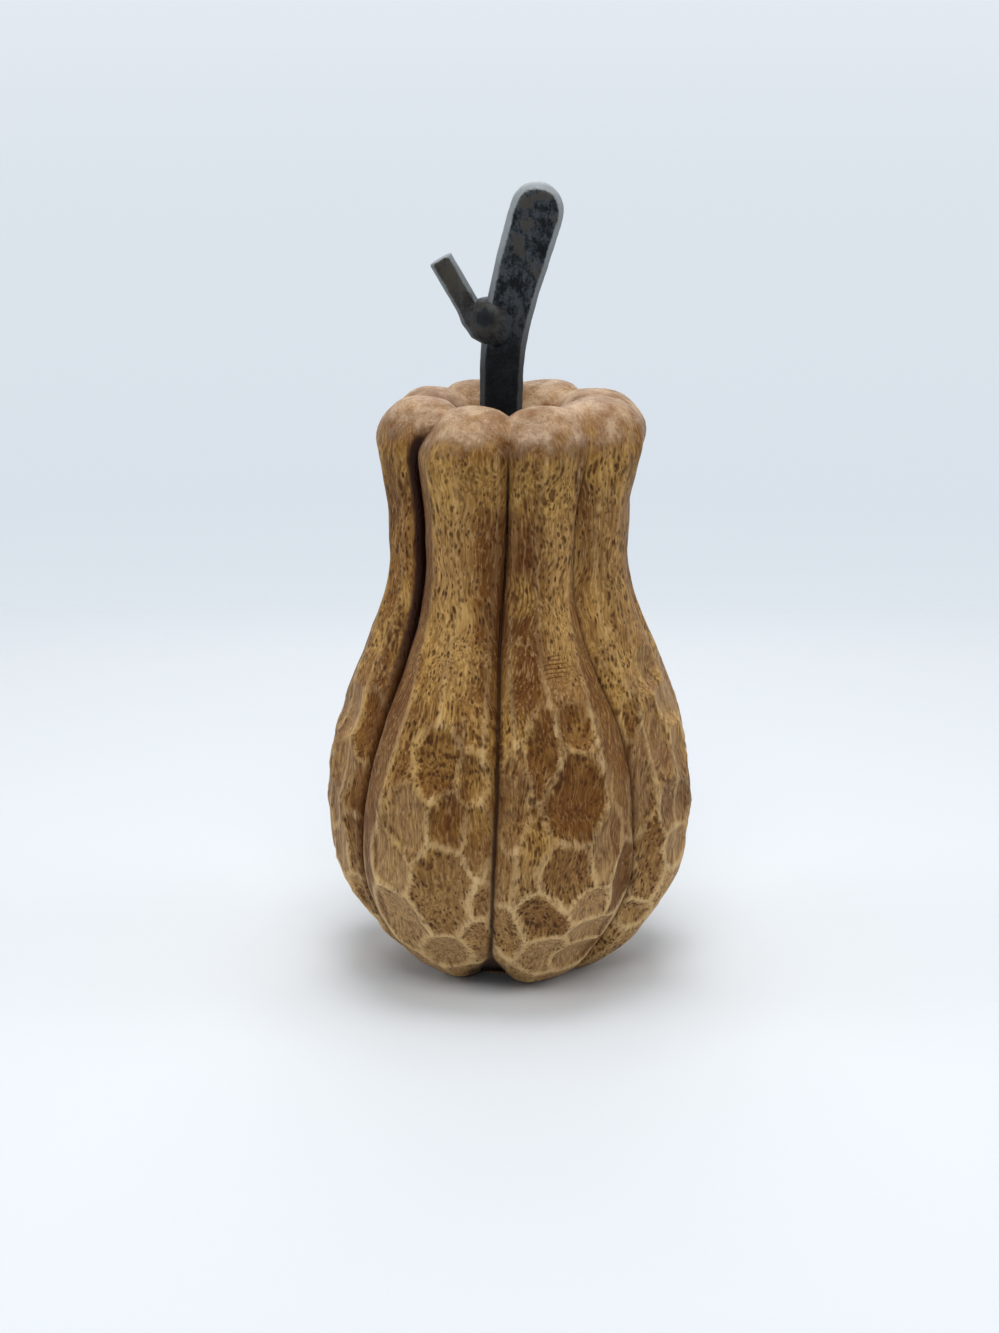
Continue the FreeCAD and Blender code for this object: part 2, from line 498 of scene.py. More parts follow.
# %% How the lobes and grooves differ
# Azimuths are degrees from the front, at the crest.  Each groove leans by the time it reaches the
# base, has its own depth, and is shallower or deeper where it crosses the crown.
groove_azimuths = np.array([0.0, 37.0, 88.0, 133.0, 178.0, 220.0, 267.0, 303.0])
groove_leans = np.array([-7.0, 8.0, 1.0, -2.0, 2.0, -1.0, -3.0, -6.0])
groove_shares = np.array([1.0, 0.75, 0.8, 1.05, 0.95, 1.0, 0.8, 1.35])
crown_shares = np.array([1.0, 0.6, 0.45, 0.95, 0.95, 0.95, 0.7, 1.15])
crown_heights = (152, 172)
# Each lobe's size, and how much of it the last cuts left near the base and on the crown
lobe_shares = np.array([1.0, 1.015, 1.02, 1.0, 0.99, 1.0, 0.99, 1.0])
low_trims = np.array([0.985, 0.975, 0.975, 0.98, 1.0, 0.995, 0.995, 1.0])
low_trim_heights, low_trim_strengths = (4, 26, 46, 72), (0, 1, 1, 0)
crown_trims = np.array([1.0, 0.985, 0.99, 1.0, 1.0, 0.965, 0.95, 0.99])
crown_trim_heights, crown_trim_strengths = (152, 166), (0, 1)
print(len(groove_azimuths), "grooves and", len(lobe_shares), "lobes")

# %% The grooves that wander
# The three grooves that the photograph shows, by their height and azimuth
front_groove = [
    (0, -15), (8, -10.5), (20, -7), (36, -5.6), (67, -4.0), (95, -4.1), (111, -4.4),
    (122, -3.1), (134, -1.6), (152, -0.6), (178, 0),
]
left_groove = [
    (0, 290), (12, 292), (24, 298), (35, 302), (44, 303.6), (61, 305), (73, 306), (85, 306.6),
    (96, 306.8), (116, 306), (131, 304), (146, 303), (160, 304.5), (168, 309), (178, 316),
]
right_groove = [
    (0, 53), (12, 53), (25, 52.5), (36, 51), (48, 49), (62, 48), (74, 47.4), (85, 45.4),
    (94, 42.4), (101, 39.4), (110, 36.6), (119, 35.2), (136, 35.5), (160, 37.2), (178, 38),
]
wandering_grooves = {0: front_groove, 7: left_groove, 1: right_groove}
wander_softness = 5.0
# The right groove is deepest on the belly and the left one on the neck: height and depth's share
uneven_depths = {
    1: [(0, 1.2), (20, 1.5), (50, 1.45), (80, 1.25), (105, 1.05), (150, 0.95), (178, 0.85)],
    7: [(0, 0.9), (20, 0.75), (60, 0.75), (85, 1.0), (112, 1.35), (150, 1.4), (178, 1.55)],
}


def groove_turn(height):
    """The azimuth of every groove at that height."""
    way_down = (crest_height - height) / (crest_height - base_height)
    azimuths = groove_azimuths + groove_leans * way_down
    for index, path in wandering_grooves.items():
        heights, turns = zip(*path)
        near = [height - wander_softness, height, height + wander_softness]
        azimuths[index] = np.interp(near, heights, turns).mean()
    return azimuths


print("azimuths at half height:", groove_turn(crest_height / 2).round(1))


# %% Arcs from groove to groove
def around(radius, azimuth, height):
    """Points at that radius, azimuth in degrees from the front, and height."""
    turn = np.radians(azimuth)
    return np.stack([radius * np.sin(turn), -radius * np.cos(turn), height + 0 * turn], axis=-1)


def arc_points(start, middle, end, share):
    """Points on the arcs through start, middle and end, outwards there, and the arcs' lengths."""
    a, b = start - middle, end - middle
    axis = np.cross(a, b)
    size = (axis ** 2).sum(-1, keepdims=True)
    lift = (a ** 2).sum(-1, keepdims=True) * b - (b ** 2).sum(-1, keepdims=True) * a
    centre = middle + np.cross(lift, axis) / (2 * size)
    axis = axis / np.sqrt(size)
    first = start - centre
    radius = np.sqrt((first ** 2).sum(-1, keepdims=True))
    first = first / radius
    second = np.cross(-axis, first)
    last = (end - centre) / radius
    sweep = np.arctan2((last * second).sum(-1), (last * first).sum(-1)) % math.tau
    angle = (sweep * share)[..., None]
    points = centre + radius * (np.cos(angle) * first + np.sin(angle) * second)
    return points, (points - centre) / radius, radius[..., 0] * sweep


# %% A row of arcs
def soft_step(value, low, high):
    """0 below low, 1 above high, and a soft step between them."""
    share = np.clip((value - low) / (high - low), 0, 1)
    return share * share * (3 - 2 * share)


# The steps across a lobe are closer together near its grooves
column_crowding = 0.3
lobe_step = np.arange(columns_per_lobe) / columns_per_lobe
lobe_step = lobe_step - column_crowding * np.sin(math.tau * lobe_step) / math.tau
whole_step = np.append(lobe_step, 1.0)


def row_of_arcs(radius, height, depth, groove_height):
    """The lobes' arcs at one height, outwards on them, their lengths and the grooves' depths."""
    azimuths = groove_turn(height)
    azimuths = np.append(azimuths, azimuths[0] + 360)
    easing = 1 + (crown_shares - 1) * soft_step(height, *crown_heights)
    shares = groove_shares * easing
    for index, path in uneven_depths.items():
        shares[index] = np.interp(height, *zip(*path))
    depths = np.append(shares, shares[0]) * depth
    levels = height - (height - groove_height) * np.append(easing, easing[0])
    grooves = around(radius - depths, azimuths, levels)
    trim = 1 + (low_trims - 1) * np.interp(height, low_trim_heights, low_trim_strengths)
    above = np.interp(height, crown_trim_heights, crown_trim_strengths)
    trim = trim * (1 + (crown_trims - 1) * above)
    middles = around(radius * lobe_shares * trim, (azimuths[:-1] + azimuths[1:]) / 2, height)
    arcs = arc_points(grooves[:-1, None], middles[:, None], grooves[1:, None], whole_step[None, :])
    return *arcs, depths


print(columns_per_lobe, "steps across each of", lobes, "lobes")

# %% [markdown]
# ## Pared facets
# A knife can't follow an arc: it pared each lobe in a few long, nearly flat strips, and the edges
# between them catch the light.  A bevel would make such edges straight and even, so the arcs are
# pressed towards chords instead, between edges that drift a little on their way up.  The outer
# edges of the two front lobes follow the photograph.

# %% Where the knife left edges
# For each lobe, the edges' shares of the way across it, from the left
pared_edge_shares = [
    (0.13, 0.40, 0.66),
    (0.2, 0.42, 0.66, 0.86),
    (0.22, 0.50, 0.80),
    (0.25, 0.60, 0.82),
    (0.20, 0.45, 0.75),
    (0.22, 0.55, 0.80),
    (0.20, 0.46, 0.71, 0.93),
    (0.32, 0.60, 0.90),
]
edge_wander, edge_wander_height = 0.03, 22.0
# By lobe and edge: the height and share of the edges that follow the photograph
wandering_edges = {
    (0, 2): [
        (8, 0.8), (20, 0.77), (35, 0.76), (45, 0.76), (56, 0.71), (75, 0.67), (92, 0.7),
        (110, 0.79), (145, 0.9),
    ],
    (7, 0): [(8, 0.24), (62, 0.24), (73, 0.27), (90, 0.33), (145, 0.33)],
}
# The lobes whose first or last facet is a plain flank down to the groove
plain_flanks = {7: 0, 0: 3}
flank_flatness, front_flatness = 0.95, 0.6
print(sum(len(edges) for edges in pared_edge_shares), "edges pared")


# %% Flatten the arcs between the edges
def pared(points, share, edges, flatness, plain):
    """Flattens an arc of points between its edges.  Gives also the share of the way to the
    nearest edge, of changing sign from facet to facet, and 1 where the plain facet is."""
    stops = np.concatenate([[0.0], edges, [1.0]])
    edge_way = np.zeros(len(share))
    flank = np.zeros(len(share))
    flat = points.copy()
    for k in range(len(stops) - 1):
        inside = (share >= stops[k]) & (share <= stops[k + 1])
        ends = [[np.interp(s, share, points[:, axis]) for axis in range(3)] for s in stops[k:k + 2]]
        start, end = np.array(ends)
        way = ((share - stops[k]) / (stops[k + 1] - stops[k]))[inside, None]
        chord = start * (1 - way) + end * way
        outer = k in (0, len(stops) - 2)
        level = (flank_flatness if outer else front_flatness) * flatness
        flat[inside] = points[inside] * (1 - level) + chord * level
        nearest = np.minimum(share - stops[k], stops[k + 1] - share)
        edge_way[inside] = (-1) ** k * nearest[inside]
        flank[inside] = k == plain
    return flat, edge_way, flank


def pare_row(arcs, lengths, height, crown):
    """All lobes of a row pared, with their distance to the nearest edge, and their flanks."""
    points = np.zeros((lobes, columns_per_lobe, 3))
    edge_line = np.zeros((lobes, columns_per_lobe))
    flanks = np.zeros((lobes, columns_per_lobe))
    for lobe, edges in enumerate(pared_edge_shares):
        level = height / edge_wander_height
        drift = [noise.noise(Vector((level, lobe, k))) for k in range(len(edges))]
        edges = np.array(edges) + edge_wander * np.array(drift)
        for (of_lobe, edge), path in wandering_edges.items():
            if of_lobe == lobe:
                edges[edge] = np.interp(height, *zip(*path))
        plain = plain_flanks.get(lobe, -1)
        flat, edge_way, flank = pared(arcs[lobe], whole_step, edges, 1 - crown, plain)
        points[lobe] = flat[:-1]
        edge_line[lobe] = edge_way[:-1] * lengths[lobe]
        flanks[lobe] = flank[:-1] * (1 - crown)
    return points, edge_line, flanks


# %% Cuts along the grooves
# Between grooves a lobe's flanks are steeper and its front flatter than a plain arc
flank_power, flank_share = 3.2, 0.2
# For each groove: how deep and wide a narrow cut runs along it, and how rounded its valley is
cut_depths = np.array([0.8, 0.7, 0.5, 1.1, 1.1, 1.3, 0.7, 2.4])
cut_widths = np.array([1.1, 0.8, 0.8, 0.9, 0.9, 0.9, 0.8, 1.1])
cut_ends = (158, 170)
valley_rounds = np.array([0.25, 0.5, 1.0, 0.4, 0.4, 0.3, 0.8, 0.1])
valley_slope = 0.55
crown_round = 0.6
# The pared skin stands a little proud of the arcs, away from the grooves and above the base
pared_proud, proud_reach, proud_heights = 0.15, 4.0, (1, 8)
# The front groove opens into a notch where it reaches the base
notch_depth, notch_half_width, notch_heights = 6.0, 8.5, (1, 17)

# Which steps belong to the groove on the left, and which lie beside the front groove
first_half = (lobe_step < 0.5)[None, :]
lobe_number = np.arange(lobes)[:, None]
beside_front = ((lobe_number == 7) & ~first_half) | ((lobe_number == 0) & first_half)


def beside(per_groove):
    """The value of the groove on the nearer side, for each lobe and step across it."""
    per_groove = np.append(per_groove, per_groove[0])
    return np.where(first_half, per_groove[:-1, None], per_groove[1:, None])


def cut_row(lengths, depths, height, crown):
    """How far a row moves outwards, its distance to the groove, and how far into the notch."""
    across = np.abs(2 * lobe_step - 1)
    from_groove = lengths * np.minimum(lobe_step, 1 - lobe_step)[None, :]
    shallower = np.minimum(depths[:-1], depths[1:])[:, None]
    flatter = shallower * flank_share * (across ** 2 - across ** flank_power)[None, :]
    rounding = beside(valley_rounds) + crown_round * crown
    rise = valley_slope * from_groove
    lift = np.sqrt(rise ** 2 + rounding ** 2) - rise
    cut = beside(cut_depths) * (1 - soft_step(height, *cut_ends))
    cut = cut * np.exp(-(from_groove / beside(cut_widths)) ** 2)
    notch = np.exp(-(from_groove / notch_half_width) ** 2)
    notch = notch * (1 - soft_step(height, *notch_heights)) * beside_front
    proud = pared_proud * np.clip(from_groove / proud_reach, 0, 1)
    proud = proud * (1 - crown) * soft_step(height, *proud_heights)
    return flatter + lift + proud - notch_depth * notch - cut, from_groove, notch


# %% Shape the rows
crown_squash = 0.6
crown_level = 176.2

per_lobe = (len(rows), lobes, columns_per_lobe)
surface = np.zeros((*per_lobe, 3))
edge_line, flank_face = np.zeros(per_lobe), np.zeros(per_lobe)
groove_distance, notch_shade = np.zeros(per_lobe), np.zeros(per_lobe)
for j in range(first_lobed_row, last_lobed_row):
    height = rows[j][1]
    crown = soft_step(height, *crown_heights)
    arcs, outwards, lengths, depths = row_of_arcs(*rows[j])
    points, edge_line[j], flank_face[j] = pare_row(arcs, lengths, height, crown)
    move, groove_distance[j], notch_shade[j] = cut_row(lengths, depths, height, crown)
    surface[j] = points + outwards[:, :-1] * move[..., None]
over_crown = np.maximum(surface[..., 2] - crown_level, 0)
surface[..., 2] -= over_crown * (1 - crown_squash)
surface = surface.reshape(len(rows), columns, 3)
print(last_lobed_row - first_lobed_row, "rows shaped")

# %% Move every point onto its lobe
# Each point is matched with its row and column, a few thousand at a time to save memory
at_a_time = 4000
turned = points_of(gourd)
turned_radius = np.hypot(turned[:, 0], turned[:, 1])
column_of = np.degrees(np.arctan2(turned[:, 0], -turned[:, 1])) % 360
column_of = np.round(column_of / 360 * columns).astype(int) % columns
row_of = np.zeros(len(turned), int)
for start in range(0, len(turned), at_a_time):
    part = slice(start, start + at_a_time)
    miss = np.abs(turned_radius[part, None] - rows[None, :, 0])
    miss += np.abs(turned[part, 2][:, None] - rows[None, :, 1])
    row_of[part] = miss.argmin(axis=1)
lobed = (row_of >= first_lobed_row) & (row_of < last_lobed_row)
lobed_points = turned.copy()
lobed_points[lobed] = surface[row_of[lobed], column_of[lobed]]
move_points(gourd, lobed_points)
print("lobed points:", int(lobed.sum()))


# %% [markdown]
# ## Gouge scoops
# The belly wasn't sanded after carving: each cut of a curved gouge left a shallow oval scoop, and
# neighbouring scoops meet in a crisp ridge.  A scoop is a bowl whose depth falls off from its
# middle.  Where two bowls overlap the deeper one wins, which puts the ridges where the real ones
# are.  The scoops that the photograph shows are listed by the pixel of their middle and by their
# size in pixels, and cast through the camera onto the gourd.  The others are laid out by a loop.

# %% The scoops that the photograph shows
# Each is its middle across and down, its width and height, all in pixels, and how dark its wood is.
left_lobe_scoops = [
    (369, 727, 28, 64, 0.75),
    (348, 712, 21, 56, 0.2),
    (341, 766, 17, 55, 0.15),
    (355, 790, 19, 52, 0.5),
    (354, 849, 18, 56, 0.55),
    (366, 894, 19, 32, 0.5),
    (337, 841, 13, 48, 0.2),
    (333, 808, 12, 50, 0.15),
]
front_left_scoops = [
    (437, 765, 42, 70, 0.85),
    (471, 779, 27, 50, 0.6),
    (445, 826, 35, 58, 0.6),
    (405, 830, 36, 66, 0.3),
    (476, 840, 25, 60, 0.5),
    (391, 866, 29, 56, 0.25),
    (403, 922, 35, 50, 0.25),
    (437, 900, 52, 76, 0.55),
    (475, 906, 23, 28, 0.6),
    (473, 942, 27, 33, 0.5),
    (444, 952, 44, 21, 0.35),
]
front_right_scoops = [
    (556, 666, 27, 52, 0.6),
    (577, 728, 34, 44, 0.75),
    (545, 756, 34, 84, 0.6),
    (581, 804, 54, 83, 0.7),
    (513, 800, 24, 90, 0.4),
    (573, 878, 38, 56, 0.65),
    (542, 926, 39, 39, 0.75),
    (509, 937, 25, 39, 0.5),
    (608, 848, 27, 60, 0.35),
    (592, 906, 31, 25, 0.35),
    (590, 933, 34, 25, 0.3),
    (545, 957, 41, 25, 0.3),
    (577, 955, 42, 24, 0.3),
]
right_lobe_scoops = [
    (628, 651, 18, 44, 0.5),
    (632, 717, 20, 40, 0.8),
    (648, 671, 24, 44, 0.25),
    (658, 737, 31, 77, 0.15),
    (680, 750, 16, 54, 0.15),
    (640, 800, 24, 66, 0.28),
    (677, 805, 27, 46, 0.12),
    (623, 878, 17, 49, 0.65),
    (649, 862, 27, 66, 0.55),
    (677, 842, 18, 34, 0.2),
    (633, 912, 24, 19, 0.5),
    (668, 700, 20, 40, 0.25),
]
photo_scoops = left_lobe_scoops + front_left_scoops + front_right_scoops + right_lobe_scoops
print(len(photo_scoops), "scoops seen")

# %% From a pixel to the gourd
pitch = math.radians(camera_pitch)
camera_right = Vector((1, 0, 0))
camera_up = Vector((0, math.sin(pitch), math.cos(pitch)))
camera_forward = Vector((0, math.cos(pitch), -math.sin(pitch)))
carved_form = BVHTree.FromPolygons(
    [v.co.copy() for v in gourd.data.vertices], [tuple(f.vertices) for f in gourd.data.polygons]
)


def through_pixel(across, down):
    """The direction from the camera through a pixel of the photograph."""
    side = (across - photo_width / 2) / focal_pixels
    rise = (photo_height / 2 - down) / focal_pixels
    return (camera_forward + camera_right * side + camera_up * rise).normalized()


def in_pixels(place, step):
    """How many pixels across and down a small step from place covers, both in metres."""
    seen = []
    for point in (place, place + step):
        way = point - camera_place
        deep = way.dot(camera_forward)
        seen.append(focal_pixels * Vector((way.dot(camera_right), way.dot(camera_up))) / deep)
    return (seen[1] - seen[0]).length


def scoop_frame(normal):
    """Directions across and up along the surface."""
    sideways = Vector((0, 0, 1)).cross(normal).normalized()
    return sideways, normal.cross(sideways)


print(len(gourd.data.polygons), "faces to cast on")

# %% Put the seen scoops on the gourd
# A grazing view stretches a scoop, so its half sizes are limited, in millimetres
widest, tallest = 9.0, 13.0
scoops = []
for across, down, width, height, darkness in photo_scoops:
    place, normal, _, _ = carved_form.ray_cast(camera_place, through_pixel(across, down))
    if place is None:
        print("no gourd at", across, down)
        continue
    sideways, upwards = scoop_frame(normal)
    half_width = min(width / 2 / in_pixels(place, sideways * mm), widest)
    half_height = min(height / 2 / in_pixels(place, upwards * mm), tallest)
    scoops.append((place / mm, normal, half_width, half_height, darkness))
print(len(scoops), "scoops placed")

# %% The scoops on the sides and back
hidden_from, hidden_to = 112.0, 246.0
scoop_rows, lowest_row, rows_span, row_crowding = 8, 5, 98, 0.9
scoop_spacing = 13.5
girth_heights, girths = [0, 14, 40, 60, 85, 110], [30, 42, 56, 57, 51, 41]
thinned_above, left_out = 85, 0.35
random = np.random.RandomState(7)


def cast_inwards(azimuth, height, rise=0.0, from_axis=0.0):
    """Where a ray meets the gourd that comes in at that azimuth and height, rising outwards."""
    turn, lift = math.radians(azimuth), math.radians(rise)
    outside = Vector((math.sin(turn), -math.cos(turn), 0))
    aim = outside * from_axis + Vector((0, 0, height))
    back = outside * math.cos(lift) + Vector((0, 0, math.sin(lift)))
    place, normal, _, _ = carved_form.ray_cast((aim + back * 100) * mm, -back)
    return place, normal


for row in range(scoop_rows):
    height = lowest_row + rows_span * (row / (scoop_rows - 1)) ** row_crowding
    girth = np.interp(height, girth_heights, girths)
    count = int(round(math.tau * girth * (hidden_to - hidden_from) / 360 / scoop_spacing))
    for k in range(count):
        share = (k + 0.5 * (row % 2) + random.uniform(-0.25, 0.25)) / count
        azimuth = hidden_from + share * (hidden_to - hidden_from)
        level = max(height + random.uniform(-4, 4), 3.0)
        half_width = random.uniform(5.0, 8.0)
        half_height = half_width * random.uniform(0.9, 1.5)
        darkness = random.uniform(0.05, 0.62)
        if level > thinned_above and random.uniform() < left_out:
            continue
        place, normal = cast_inwards(azimuth, level)
        scoops.append((place / mm, normal, half_width, half_height, darkness))
print(len(scoops) - len(photo_scoops), "scoops on the sides and back")

# %% The facets that give the outline its corners
# Four columns of them stand at the azimuths of the outline: the height and half height of each
left_edge = ((82.5, 6.5), (72.5, 5.0), (61.0, 8.5), (45.0, 8.5), (32.0, 5.5), (21.0, 7.0))
right_edge = ((86.0, 10.5), (65.0, 10.5), (45.0, 10.0), (24.0, 10.0))
edge_columns = {80: right_edge, 98: right_edge, 258: left_edge, 280: left_edge}
edge_half_width = 5.5
for azimuth, column in edge_columns.items():
    for height, half_height in column:
        place, normal = cast_inwards(azimuth, height)
        darkness = random.uniform(0.15, 0.7)
        scoops.append((place / mm, normal, edge_half_width, half_height, darkness))
print(len(scoops), "scoops on the belly")

# %% Flats on the neck and the crown
# The neck and the crown were pared with a flat knife, which left long, shallow flats.  A tone
# below zero tells the finish that the wood there isn't darkened.
flat_darkness = -0.3
neck_flats = ((122, 17), (150, 14))
crown_flats = ((0.3, 40), (0.7, 52), (0.5, 20))
crown_flat_height, crown_flat_reach = 165, 28
for lobe in range(lobes):
    for level, half_height in neck_flats:
        turns = np.append(groove_turn(level), groove_turn(level)[0] + 360)
        for share in (0.27, 0.73):
            share += random.uniform(-0.06, 0.06)
            azimuth = turns[lobe] + (turns[lobe + 1] - turns[lobe]) * share
            place, normal = cast_inwards(azimuth, level + random.uniform(-6, 6))
            half_width = random.uniform(5.5, 7.5)
            scoops.append((place / mm, normal, half_width, half_height, flat_darkness))
    turns = np.append(groove_turn(crown_flat_height), groove_turn(crown_flat_height)[0] + 360)
    for share, rise in crown_flats:
        azimuth = turns[lobe] + (turns[lobe + 1] - turns[lobe]) * (share + random.uniform(-0.1, 0.1))
        rise += random.uniform(-6, 6)
        place, normal = cast_inwards(azimuth, crown_flat_height, rise, crown_flat_reach)
        half_width = random.uniform(5.0, 7.5)
        scoops.append((place / mm, normal, half_width, half_width, flat_darkness))
# The last one is a deep flat that rounds off the shoulder of the lobe behind the left one
place, normal = cast_inwards(256, crown_flat_height, 44, crown_flat_reach)
scoops.append((place / mm, normal, 10.0, 9.0, flat_darkness))
shoulder_depth = 2.4
print(len(scoops), "scoops in all")

# %% Each scoop as a bowl
# The low scoops are enlarged most, because they meet edge to edge in the photograph
size_heights, size_shares = [35, 75], [1.6, 1.2]
shallow_depth = 0.4
depth_per_width = 0.24
flat_depth = 0.8
bowl_reach = 0.8

middle = np.array([s[0] for s in scoops])
facing = np.array([s[1] for s in scoops])
sideways = np.array([scoop_frame(Vector(n))[0] for n in facing])
upwards = np.array([scoop_frame(Vector(n))[1] for n in facing])
size_share = np.interp(middle[:, 2], size_heights, size_shares)
half_widths = np.array([s[2] for s in scoops]) * size_share
half_heights = np.array([s[3] for s in scoops]) * size_share
scoop_dark = np.array([s[4] for s in scoops])
scoop_depth = shallow_depth + depth_per_width * half_widths
scoop_depth[scoop_dark < 0] = flat_depth
scoop_depth[-1] = shoulder_depth
reach = bowl_reach * (half_widths + half_heights)


def bowl(points, which):
    """Depth of the scoops below the surface at the points, and how fast it falls off per mm."""
    away = points - middle[which]
    parts = [
        (sideways[which], half_widths[which]),
        (upwards[which], half_heights[which]),
        (facing[which], reach[which]),
    ]
    fall = 0
    slope = 0
    for direction, size in parts:
        step = (away * direction).sum(-1)
        fall = fall + (step / size) ** 2
        slope = slope + direction * (step / size ** 2)[..., None]
    depth = scoop_depth[which] * (1 - fall)
    return depth, slope * (-2 * scoop_depth[which])[..., None]


print(f"bowls {scoop_depth.min():.1f} to {scoop_depth.max():.1f} mm deep")

# %% Carve them
# Between the scoops the skin stands proud, so that the ridges come to the profile.  Nothing is
# carved close to a groove, and the distances are measured from slightly wobbled points, because
# a hand doesn't cut true ovals.
stand_proud = 0.55
clear_from, clear_to = 0.4, 4.5
wobble, wobble_size = 0.9, 7.0
base_fade = 2.0
broad_waves, small_waves = (0.22, 9.0), (0.1, 4.0)

all_scoops = np.arange(len(scoops))
normals = normals_of(gourd)
wobbles = [smooth_noise(lobed_points, wobble_size, 11.0 + 7 * k) for k in range(3)]
wobbled = lobed_points + wobble * np.stack(wobbles, axis=1)
carve = np.zeros(len(lobed_points))
for start in range(0, len(lobed_points), at_a_time):
    part = slice(start, start + at_a_time)
    depth, _ = bowl(wobbled[part, None, :], all_scoops[None, :])
    carve[part] = np.maximum(depth.max(axis=1), 0)


def at_points(table, elsewhere=0.0):
    """A table's value at each point of the gourd, and another off the lobes."""
    table = np.broadcast_to(table, per_lobe).reshape(len(rows), columns)
    return np.where(lobed, table[row_of, column_of], elsewhere)


far_away = 50.0
distance_of = at_points(groove_distance, far_away)
near_groove = soft_step(distance_of, clear_from, clear_to)
above_base = np.clip((lobed_points[:, 2] - base_height) / base_fade, 0, 1)
uneven = broad_waves[0] * smooth_noise(lobed_points, broad_waves[1])
uneven = uneven + small_waves[0] * smooth_noise(lobed_points, small_waves[1], 3.0)
outward = (stand_proud - carve * near_groove + uneven) * above_base * lobed
move_points(gourd, lobed_points + normals * outward[:, None])
print(f"deepest scoop {carve.max():.2f} mm")

# %% Tell the finish where the ridges and grooves are
# Every face keeps its two deepest scoops.  At its corners it stores the distance to the line where
# one gives way to the other, so the shader knows the ridges far more finely than the mesh does.
def store(piece, name, values, domain="POINT"):
    """Stores a value for each point or corner of the piece, for its finish to read."""
    layer = piece.data.attributes.new(name, "FLOAT", domain)
    layer.data.foreach_set("value", np.asarray(values).astype(np.float32))


faces = gourd.data.polygons
loop_total = np.zeros(len(faces), int)
faces.foreach_get("loop_total", loop_total)
corner_point = np.zeros(len(gourd.data.loops), int)
gourd.data.loops.foreach_get("vertex_index", corner_point)
face_of_corner = np.repeat(np.arange(len(faces)), loop_total)
corner = wobbled[corner_point]
face_middle = np.zeros((len(faces), 3))
np.add.at(face_middle, face_of_corner, corner)
face_middle /= loop_total[:, None]

best = np.zeros((len(faces), 2), int)
best_depth = np.zeros((len(faces), 2))
for start in range(0, len(faces), at_a_time):
    part = slice(start, start + at_a_time)
    depth, _ = bowl(face_middle[part, None, :], all_scoops[None, :])
    order = np.argsort(-depth, axis=1)[:, :2]
    best[part] = order
    best_depth[part] = np.take_along_axis(depth, order, axis=1)

first = best[face_of_corner, 0]
second = best[face_of_corner, 1]
first_depth, first_slope = bowl(corner, first)
second_depth, second_slope = bowl(corner, second)
bare_second = best_depth[face_of_corner, 1] < 0
second_depth[bare_second] = 0
second_slope[bare_second] = 0
steep = np.linalg.norm(first_slope - second_slope, axis=1) + 1e-6
bare_tone = -0.2
value_limit = 60.0
stored = {
    "ridge": (first_depth - second_depth) / steep,
    "tone_here": scoop_dark[first],
    "tone_beyond": np.where(bare_second, bare_tone, scoop_dark[second]),
    "groove": distance_of[corner_point],
    "groove_dark": at_points(beside(groove_shares))[corner_point],
    "pared_edge": at_points(edge_line)[corner_point],
    "flank": at_points(flank_face)[corner_point],
    "notch": at_points(notch_shade)[corner_point],
}
for name, values in stored.items():
    store(gourd, name, np.clip(values, -value_limit, value_limit), "CORNER")
gourd.data.shade_smooth()
print("stored:", ", ".join(stored))

# %% [markdown]
# ## The wood
# The wood is a warm brown, oiled and rubbed.  Its long open pores show as short dark dashes that
# run up the block.  A picture would have to be wrapped round the form, and would smear at each
# scoop, so the pattern is solid: it fills the block, and a scoop cuts it open just as it cuts
# real pores.  The zones of the photograph are kept.  Ridges were rubbed pale, the low belly is
# painted paler for the light that the floor throws up, and the hollows stay dark.  The neck has a
# rosy band and a golden one, painted shade down its front beside the front groove with pale
# sapwood beside that, and the crown was sanded.

# %% Grain and figure
# The grain bends a little from side to side.  Fibres, flecks and streaks run up the block with it,
# and blotches, mottle and speckle, from large to small, don't.
wood = Finish(bpy.data.materials.new("oiled_wood"))
here = wood.place()
across_here, depth_here, height_here = wood.axes(here)
wander = wood.node("TexNoise", None, {"Vector": here, "Scale": 0.045, "Detail": 2.0}, "Color")
centred = wood.node("VectorMath", {"operation": "SUBTRACT"}, {0: wander, 1: (0.5, 0.5, 0.5)})
bent = wood.shifted(centred, (9.0, 9.0, 0.0), here)

fibre = wood.clouds(wood.shifted(bent, (1.6, 1.6, 0.13)), 1.0, 4.0, 0.6)
flecks = wood.clouds(wood.shifted(bent, (0.62, 0.62, 0.24), (3, 7, 2)), 1.0, 4.0, 0.72)
streak = wood.clouds(wood.shifted(bent, (0.16, 0.16, 0.018)), 1.0, 3.0, 0.5)
stain = wood.clouds(wood.shifted(bent, (0.09, 0.09, 0.03), (4, 9, 3)), 1.0, 4.0, 0.6)
blotch = wood.clouds(here, 0.05, 3.0, 0.55, 0.5)
mottle = wood.clouds(here, 0.2, 3.0, 0.6)
speckle = wood.clouds(here, 1.7, 3.0, 0.7)
print(len(wood.tree.nodes), "nodes of grain")

# %% Masks for ridges, hollows and pared edges
# A mask is 1 where its mark shows.  The first three set in between two heights, in millimetres,
# and the others between two distances from the line that is stored on the mesh.
# Below these heights the low belly is painted paler, as painted light thrown up from the floor.
bounce_lit_heights = (62.0, 34.0)
carved_heights = (108.0, 84.0)
sanded_heights = (164.0, 173.0)
low_belly = wood.step(height_here.swayed(blotch, 30.0), *bounce_lit_heights)
carved_zone = wood.step(height_here.swayed(mottle, 14.0), *carved_heights)
crown_zone = height_here.swayed(mottle, 12.0).swayed(blotch, 10.0)
crown_zone = wood.step(crown_zone, *sanded_heights)

